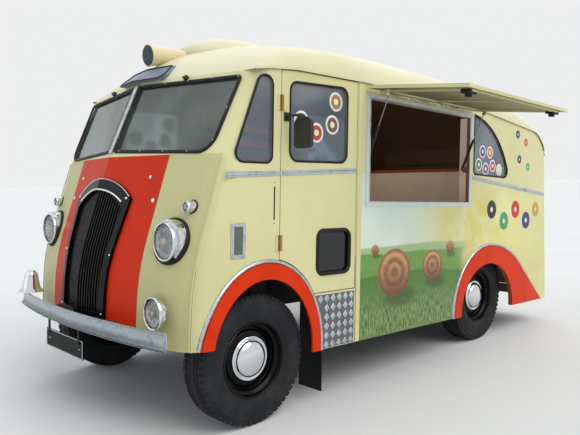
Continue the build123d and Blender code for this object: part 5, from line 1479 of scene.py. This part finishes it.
class TRUCK_OT_hatch(Undoable, bpy.types.Operator):
    """Makes the hatch's battens, hinge bars and edging"""

    bl_idname = "truck.hatch"
    bl_label = "Serving hatch"

    def execute(self, context):
        on_hatch("hatch_battens", bricks(HATCH_BATTENS), "canopy")
        bm = bmesh.new()
        for front, rear in HATCH_HINGES:
            brick(bm, (rear, 972.4, 1906), (front, 976.3, 1936), 1)
            for share in (0.1, 0.5, 0.9):
                screw(bm, (rear + (front - rear) * share, 972.6, 1921), (0, -1, 0), 4.0, 1.6)
        on_hatch("hatch_hinge_bars", bm, "yellow")
        bm = bmesh.new()
        edge = [(-2274, 1222), (-926, 1222), (-926, 1944), (-2274, 1944)]
        sweep(bm, side_path(edge, 1, 996), Vector((0, 1, 0)), flat_section(5, 1.6, 0.4), True)
        on_hatch("hatch_edging", bm, "white")
        return {"FINISHED"}


class TRUCK_OT_opening(Undoable, bpy.types.Operator):
    """Makes the lining of the serving opening and the lip of its frame"""

    bl_idname = "truck.opening"
    bl_label = "Serving opening"

    def execute(self, context):
        new_piece("hatch_lining", bricks(OPENING_LINING), "wall_board")
        bm = bmesh.new()
        ring = [(-966, 1226), (-966, 1907), (-2234, 1907), (-2234, 1226)]
        sweep(bm, side_path(ring, 1, 966), Vector((0, 1, 0)), flat_section(8, 2.5, 1), True)
        for x in (-950, -1270, -1600, -1930, -2250):
            for z in (1211, 1922):
                screw(bm, (x, 966, z), (0, 1, 0), 3.6, 1.6)
        new_piece("hatch_frame_lip", bm, "aluminium")
        return {"FINISHED"}


# Interior

DOOR_STOPS = [((-3600, -905, 1630), (-3582, 905, 1690), 2)]
DOOR_STOPS += [((-3608, side * 890, 1490), (-3592, side * 926, 1628), 2) for side, word in SIDES]
RACK_BOARDS = [((-2250, -922, 1560), (-930, -896, 1592), 3), ((-2300, 636, 1186), (-950, 648, 1224), 3)]
RACK_BOARDS += [((x - 10, -931, 1592), (x + 10, -905, 1960), 3) for x in (-2240, -1820, -1390, -960)]
RACK_BOARDS += [((-2240, -931, z), (-940, -760, z + 16), 3) for z in (1700, 1830)]
RACK_BOARDS += [((-2240, -766, z), (-940, -758, z + 30), 2) for z in (1716, 1846)]
# Columns: name, material, slot, blocks
BOARDS = [
    ("wall_linings", "wall_board", "white_paint", [((-2250, -932, 700), (-930, -922, 1560), 2)]),
    ("rear_door_stops", "body", "cream_paint", DOOR_STOPS),
    ("counter_board", "wall_board", "white_paint", [((-2619.5, -893, 905), (-2611, 893, 1500), 2)]),
    ("counter_edge", "timber", "wood", [((-2619.5, -900, 1501), (-2598, 900, 1524), 6, 3)]),
    ("racks", "timber", "wood", RACK_BOARDS),
]


class TRUCK_OT_interior(Undoable, bpy.types.Operator):
    """Makes the wall lining, rear door stops, counter front and edge, racks and roof lamps"""

    bl_idname = "truck.interior"
    bl_label = "Interior"

    def execute(self, context):
        for name, material, slot, blocks in BOARDS:
            new_piece(name, bricks(blocks), material)
        bm = bmesh.new()
        for x, z in ((-700, 2284), (-1600, 2318)):
            spin(bm, [(70, 0), (70, -8), (60, -22), (30, -32), (0, -35)], (x, 0, z), (0, 0, 1), 32,
                 Vector((1, 0, 0)))
        new_piece("roof_lamps", bm, "horn")
        return {"FINISHED"}


SEAT_NEAR = 382
SEAT_FAR = 798
PLEAT = 52


def pleated_pad(corner, far_corner, outward):
    """A cushion: a rounded block whose crowned face is drawn in along the seams between its pleats."""
    bm = bmesh.new()
    brick(bm, corner, far_corner, 26, 4)
    bmesh.ops.subdivide_edges(bm, edges=bm.edges, cuts=3, use_grid_fill=True)
    middle = (Vector(corner) + Vector(far_corner)) / 2
    half = (Vector(far_corner) - Vector(corner)) / 2
    for vert in bm.verts:
        place = vert.co - middle
        if place.dot(outward) > 0.6 * abs(half.dot(outward)):
            vert.co -= outward * (7 - 6 * abs(math.sin(place.y / PLEAT * math.pi)) ** 0.5)
    return bm


class TRUCK_OT_seats(Undoable, bpy.types.Operator):
    """Makes the two cab seats: pleated cushions and backs on steel frames"""

    bl_idname = "truck.seats"
    bl_label = "Cab seats"

    def execute(self, context):
        for side, word in SIDES:
            # Columns: name, rear x, low z, front x, high z, the way its soft face looks
            for name, rear, low, front, high, outward in [
                ("seat_cushion", -468, 855, -62, 941, Vector((0, 0, 1))),
                ("seat_back", -569, 900, -471, 1371, Vector((1, 0, 0))),
            ]:
                pad = pleated_pad((rear, side * SEAT_NEAR, low), (front, side * SEAT_FAR, high), outward)
                cushion = new_piece(f"{word}_{name}", pad, "leather", angle=60)
                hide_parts("seats")
            bars = [((x - 14, side * 400, 815), (x + 14, side * 780, 853), 3) for x in (-430, -130)]
            for y in (side * 416, side * 764):
                bars.append(((-444, y - 14, 815), (-116, y + 14, 840), 3))
                bars.append(((-500, y - 12, 840), (-474, y + 12, 990), 3))
            seat_frame = new_piece(f"{word}_seat_frame", bricks(bars), "chassis")
            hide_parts("seats")
        return {"FINISHED"}


# Roof

class TRUCK_OT_sign(Undoable, bpy.types.Operator):
    """Makes the border round the sign board"""

    bl_idname = "truck.sign"
    bl_label = "Sign border"

    def execute(self, context):
        low, high = 1967, 2057
        run = rounded([(0, low), (0, high), (232, high), (256, 1992), (236, low)], [0.5, 0.5, 14, 14, 14], 4)
        bm = bmesh.new()
        for side, word in SIDES:
            path = [on_sign(side * point.x, point.y, 1) for point in run if point.x > 1]
            path = [on_sign(0, high, 1)] + path + [on_sign(0, low, 1)]
            sweep(bm, path, Vector((1, 0.17 * side, 1.16)).normalized(), flat_section(11, 5, 1.5))
        new_piece("sign_border", bm, "trim")
        return {"FINISHED"}


class TRUCK_OT_horn(Undoable, bpy.types.Operator):
    """Makes the loudspeaker's rim and the cloth in its mouth"""

    bl_idname = "truck.horn"
    bl_label = "Loudspeaker"

    def execute(self, context):
        axis = Vector((315, 0, -46)).normalized()
        mouth = Vector((125, 0, 2150)) - axis * 6
        bm = bmesh.new()
        spin(bm, [(60, -4), (69, -6), (72, -2), (72, 3), (67, 6), (60, 3)], mouth, axis, 48)
        new_piece("horn_rim", bm, "horn")
        bm = bmesh.new()
        spin(bm, [(68, -3), (68, 5), (60, 9), (30, 12), (0, 13), (0, -3)], mouth, axis, 40)
        new_piece("horn_cloth", bm, "slate")
        return {"FINISHED"}


# Stage

# The camera was fitted to the photograph: its place in the body's frame, its turns away from the
# truck's front left corner in degrees, and its focal length in pixels of an image this wide
CAMERA_SPOT = (2202.8, 3523.0, 1250.5)
CAMERA_TURNS = (("X", 3.59005851), ("Y", 1.27954006), ("Z", -0.8281219))
FOCAL_PIXELS = 610.711
IMAGE_WIDTH = 580
SENSOR = 36.0
# Columns: name, direction it comes from, strength, width of the sun in degrees, colour
SUNS = [
    ("key", (-0.5, 4.0, 4.6), 1.7, 50, (1.0, 0.98, 0.95)),
    ("fill", (4.0, -1.5, 3.0), 0.45, 70, (0.95, 0.98, 1.0)),
    ("back", (-4.0, -3.0, 4.0), 0.5, 70, (1.0, 1.0, 1.0)),
]


def new_light(context, name, kind, power, spot, tint):
    """A lamp in the scene, for the stage to aim and shade."""
    lamp = bpy.data.lights.new(name, kind)
    lamp.energy = power
    lamp.color = tint
    holder = bpy.data.objects.new(name, lamp)
    holder.location = spot
    context.scene.collection.objects.link(holder)
    return holder


class TRUCK_OT_stage(Undoable, bpy.types.Operator):
    """Sets the floor, the lights, the sky and the camera"""

    bl_idname = "truck.stage"
    bl_label = "Stage"

    def execute(self, context):
        staged = [self.floor(context)]
        for name, spot, power, spread, tint in SUNS:
            sun = new_light(context, name, "SUN", power, spot, tint)
            sun.data.angle = math.radians(spread)
            sun.rotation_euler = (-Vector(spot)).to_track_quat("-Z", "Y").to_euler()
            staged.append(sun)
        # A warm lamp under the roof that lights the inside and isn't seen itself
        under_roof = ROW @ Vector((-1550, -100, 2050))
        glow = new_light(context, "inside", "POINT", 14.0, under_roof, (1.0, 0.86, 0.72))
        glow.data.shadow_soft_size = 0.25
        glow.visible_camera = False
        glow.visible_glossy = False
        glow.visible_transmission = False
        self.sky(context)
        self.camera(context)
        context.scene.view_settings.view_transform = "Standard"
        return {"FINISHED"}

    def floor(self, context):
        bm = bmesh.new()
        bmesh.ops.create_grid(bm, x_segments=2, y_segments=2, size=400.0)
        mesh = bpy.data.meshes.new("floor_plane")
        bm.to_mesh(mesh)
        bm.free()
        ground = bpy.data.objects.new("floor_plane", mesh)
        context.scene.collection.objects.link(ground)
        paint = Paint("stage_floor", linear(214, 214, 210), 0.85)
        paint.colour(paint.mix(paint.noise(0.8, 4.0), linear(226, 226, 223), linear(218, 218, 216)))
        mesh.materials.append(paint.material)
        return ground

    def sky(self, context):
        """A dull blue sky lights the truck; the camera, mirrors and glass see a pale one."""
        world = bpy.data.worlds.new("sky")
        world.use_nodes = True
        tree = world.node_tree
        lighting = tree.nodes["Background"]
        backdrop = tree.nodes.new("ShaderNodeBackground")
        for node, tint, strength in [
            (lighting, (0.80, 0.86, 0.95, 1), 0.7),
            (backdrop, (0.89, 0.9, 0.9, 1), 0.95),
        ]:
            node.inputs["Color"].default_value = tint
            node.inputs["Strength"].default_value = strength
        path = tree.nodes.new("ShaderNodeLightPath")
        seen = Value(tree, path.outputs["Is Camera Ray"])
        for ray in ("Is Glossy Ray", "Is Transmission Ray"):
            seen = seen.most(Value(tree, path.outputs[ray]))
        choose = tree.nodes.new("ShaderNodeMixShader")
        for output, target in zip((seen.socket, lighting.outputs[0], backdrop.outputs[0]), choose.inputs):
            tree.links.new(output, target)
        tree.links.new(choose.outputs[0], tree.nodes["World Output"].inputs["Surface"])
        context.scene.world = world

    def camera(self, context):
        camera = bpy.data.cameras.new("camera")
        camera.sensor_width = SENSOR
        camera.sensor_fit = "HORIZONTAL"
        camera.lens = SENSOR * FOCAL_PIXELS / IMAGE_WIDTH
        camera.clip_end = 200.0
        root = math.sqrt(0.5)
        view = Matrix(((-root, root, 0), (0, 0, -1), (-root, -root, 0)))
        for axis, degrees in reversed(CAMERA_TURNS):
            view = Matrix.Rotation(math.radians(degrees), 3, axis) @ view
        right, down, forward = view.row
        holder = bpy.data.objects.new("camera", camera)
        holder.matrix_world = frame_from(right, -down, -forward, ROW @ Vector(CAMERA_SPOT))
        context.scene.collection.objects.link(holder)
        context.scene.camera = holder


class TRUCK_PT_panel(bpy.types.Panel):
    """Lists the dressing's settings and its operators"""

    bl_label = "Ice Cream Truck"
    bl_idname = "TRUCK_PT_panel"
    bl_space_type = "VIEW_3D"
    bl_region_type = "UI"
    bl_category = "Truck"

    def draw(self, context):
        column = self.layout.column()
        for name in TruckSettings.__annotations__:
            column.prop(context.scene.truck_settings, name)
        for kind in OPERATORS:
            column.operator(kind.bl_idname)


OPERATORS = [
    TRUCK_OT_paint, TRUCK_OT_tyres, TRUCK_OT_rims, TRUCK_OT_seals, TRUCK_OT_stickers, TRUCK_OT_trims,
    TRUCK_OT_grille, TRUCK_OT_nose, TRUCK_OT_lamps, TRUCK_OT_bumper, TRUCK_OT_tread_plate, TRUCK_OT_vents,
    TRUCK_OT_mirrors, TRUCK_OT_handles, TRUCK_OT_hatch, TRUCK_OT_opening, TRUCK_OT_interior, TRUCK_OT_seats,
    TRUCK_OT_sign, TRUCK_OT_horn, TRUCK_OT_stage,
]
CLASSES = [TruckSettings, *OPERATORS, TRUCK_PT_panel]


def register():
    for kind in CLASSES:
        bpy.utils.register_class(kind)
    bpy.types.Scene.truck_settings = bpy.props.PointerProperty(type=TruckSettings)


def unregister():
    del bpy.types.Scene.truck_settings
    for kind in reversed(CLASSES):
        bpy.utils.unregister_class(kind)


def main():
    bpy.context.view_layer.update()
    register()
    for kind in OPERATORS:
        group, name = kind.bl_idname.split(".")
        getattr(getattr(bpy.ops, group), name)()


if __name__ == "__main__":
    main()
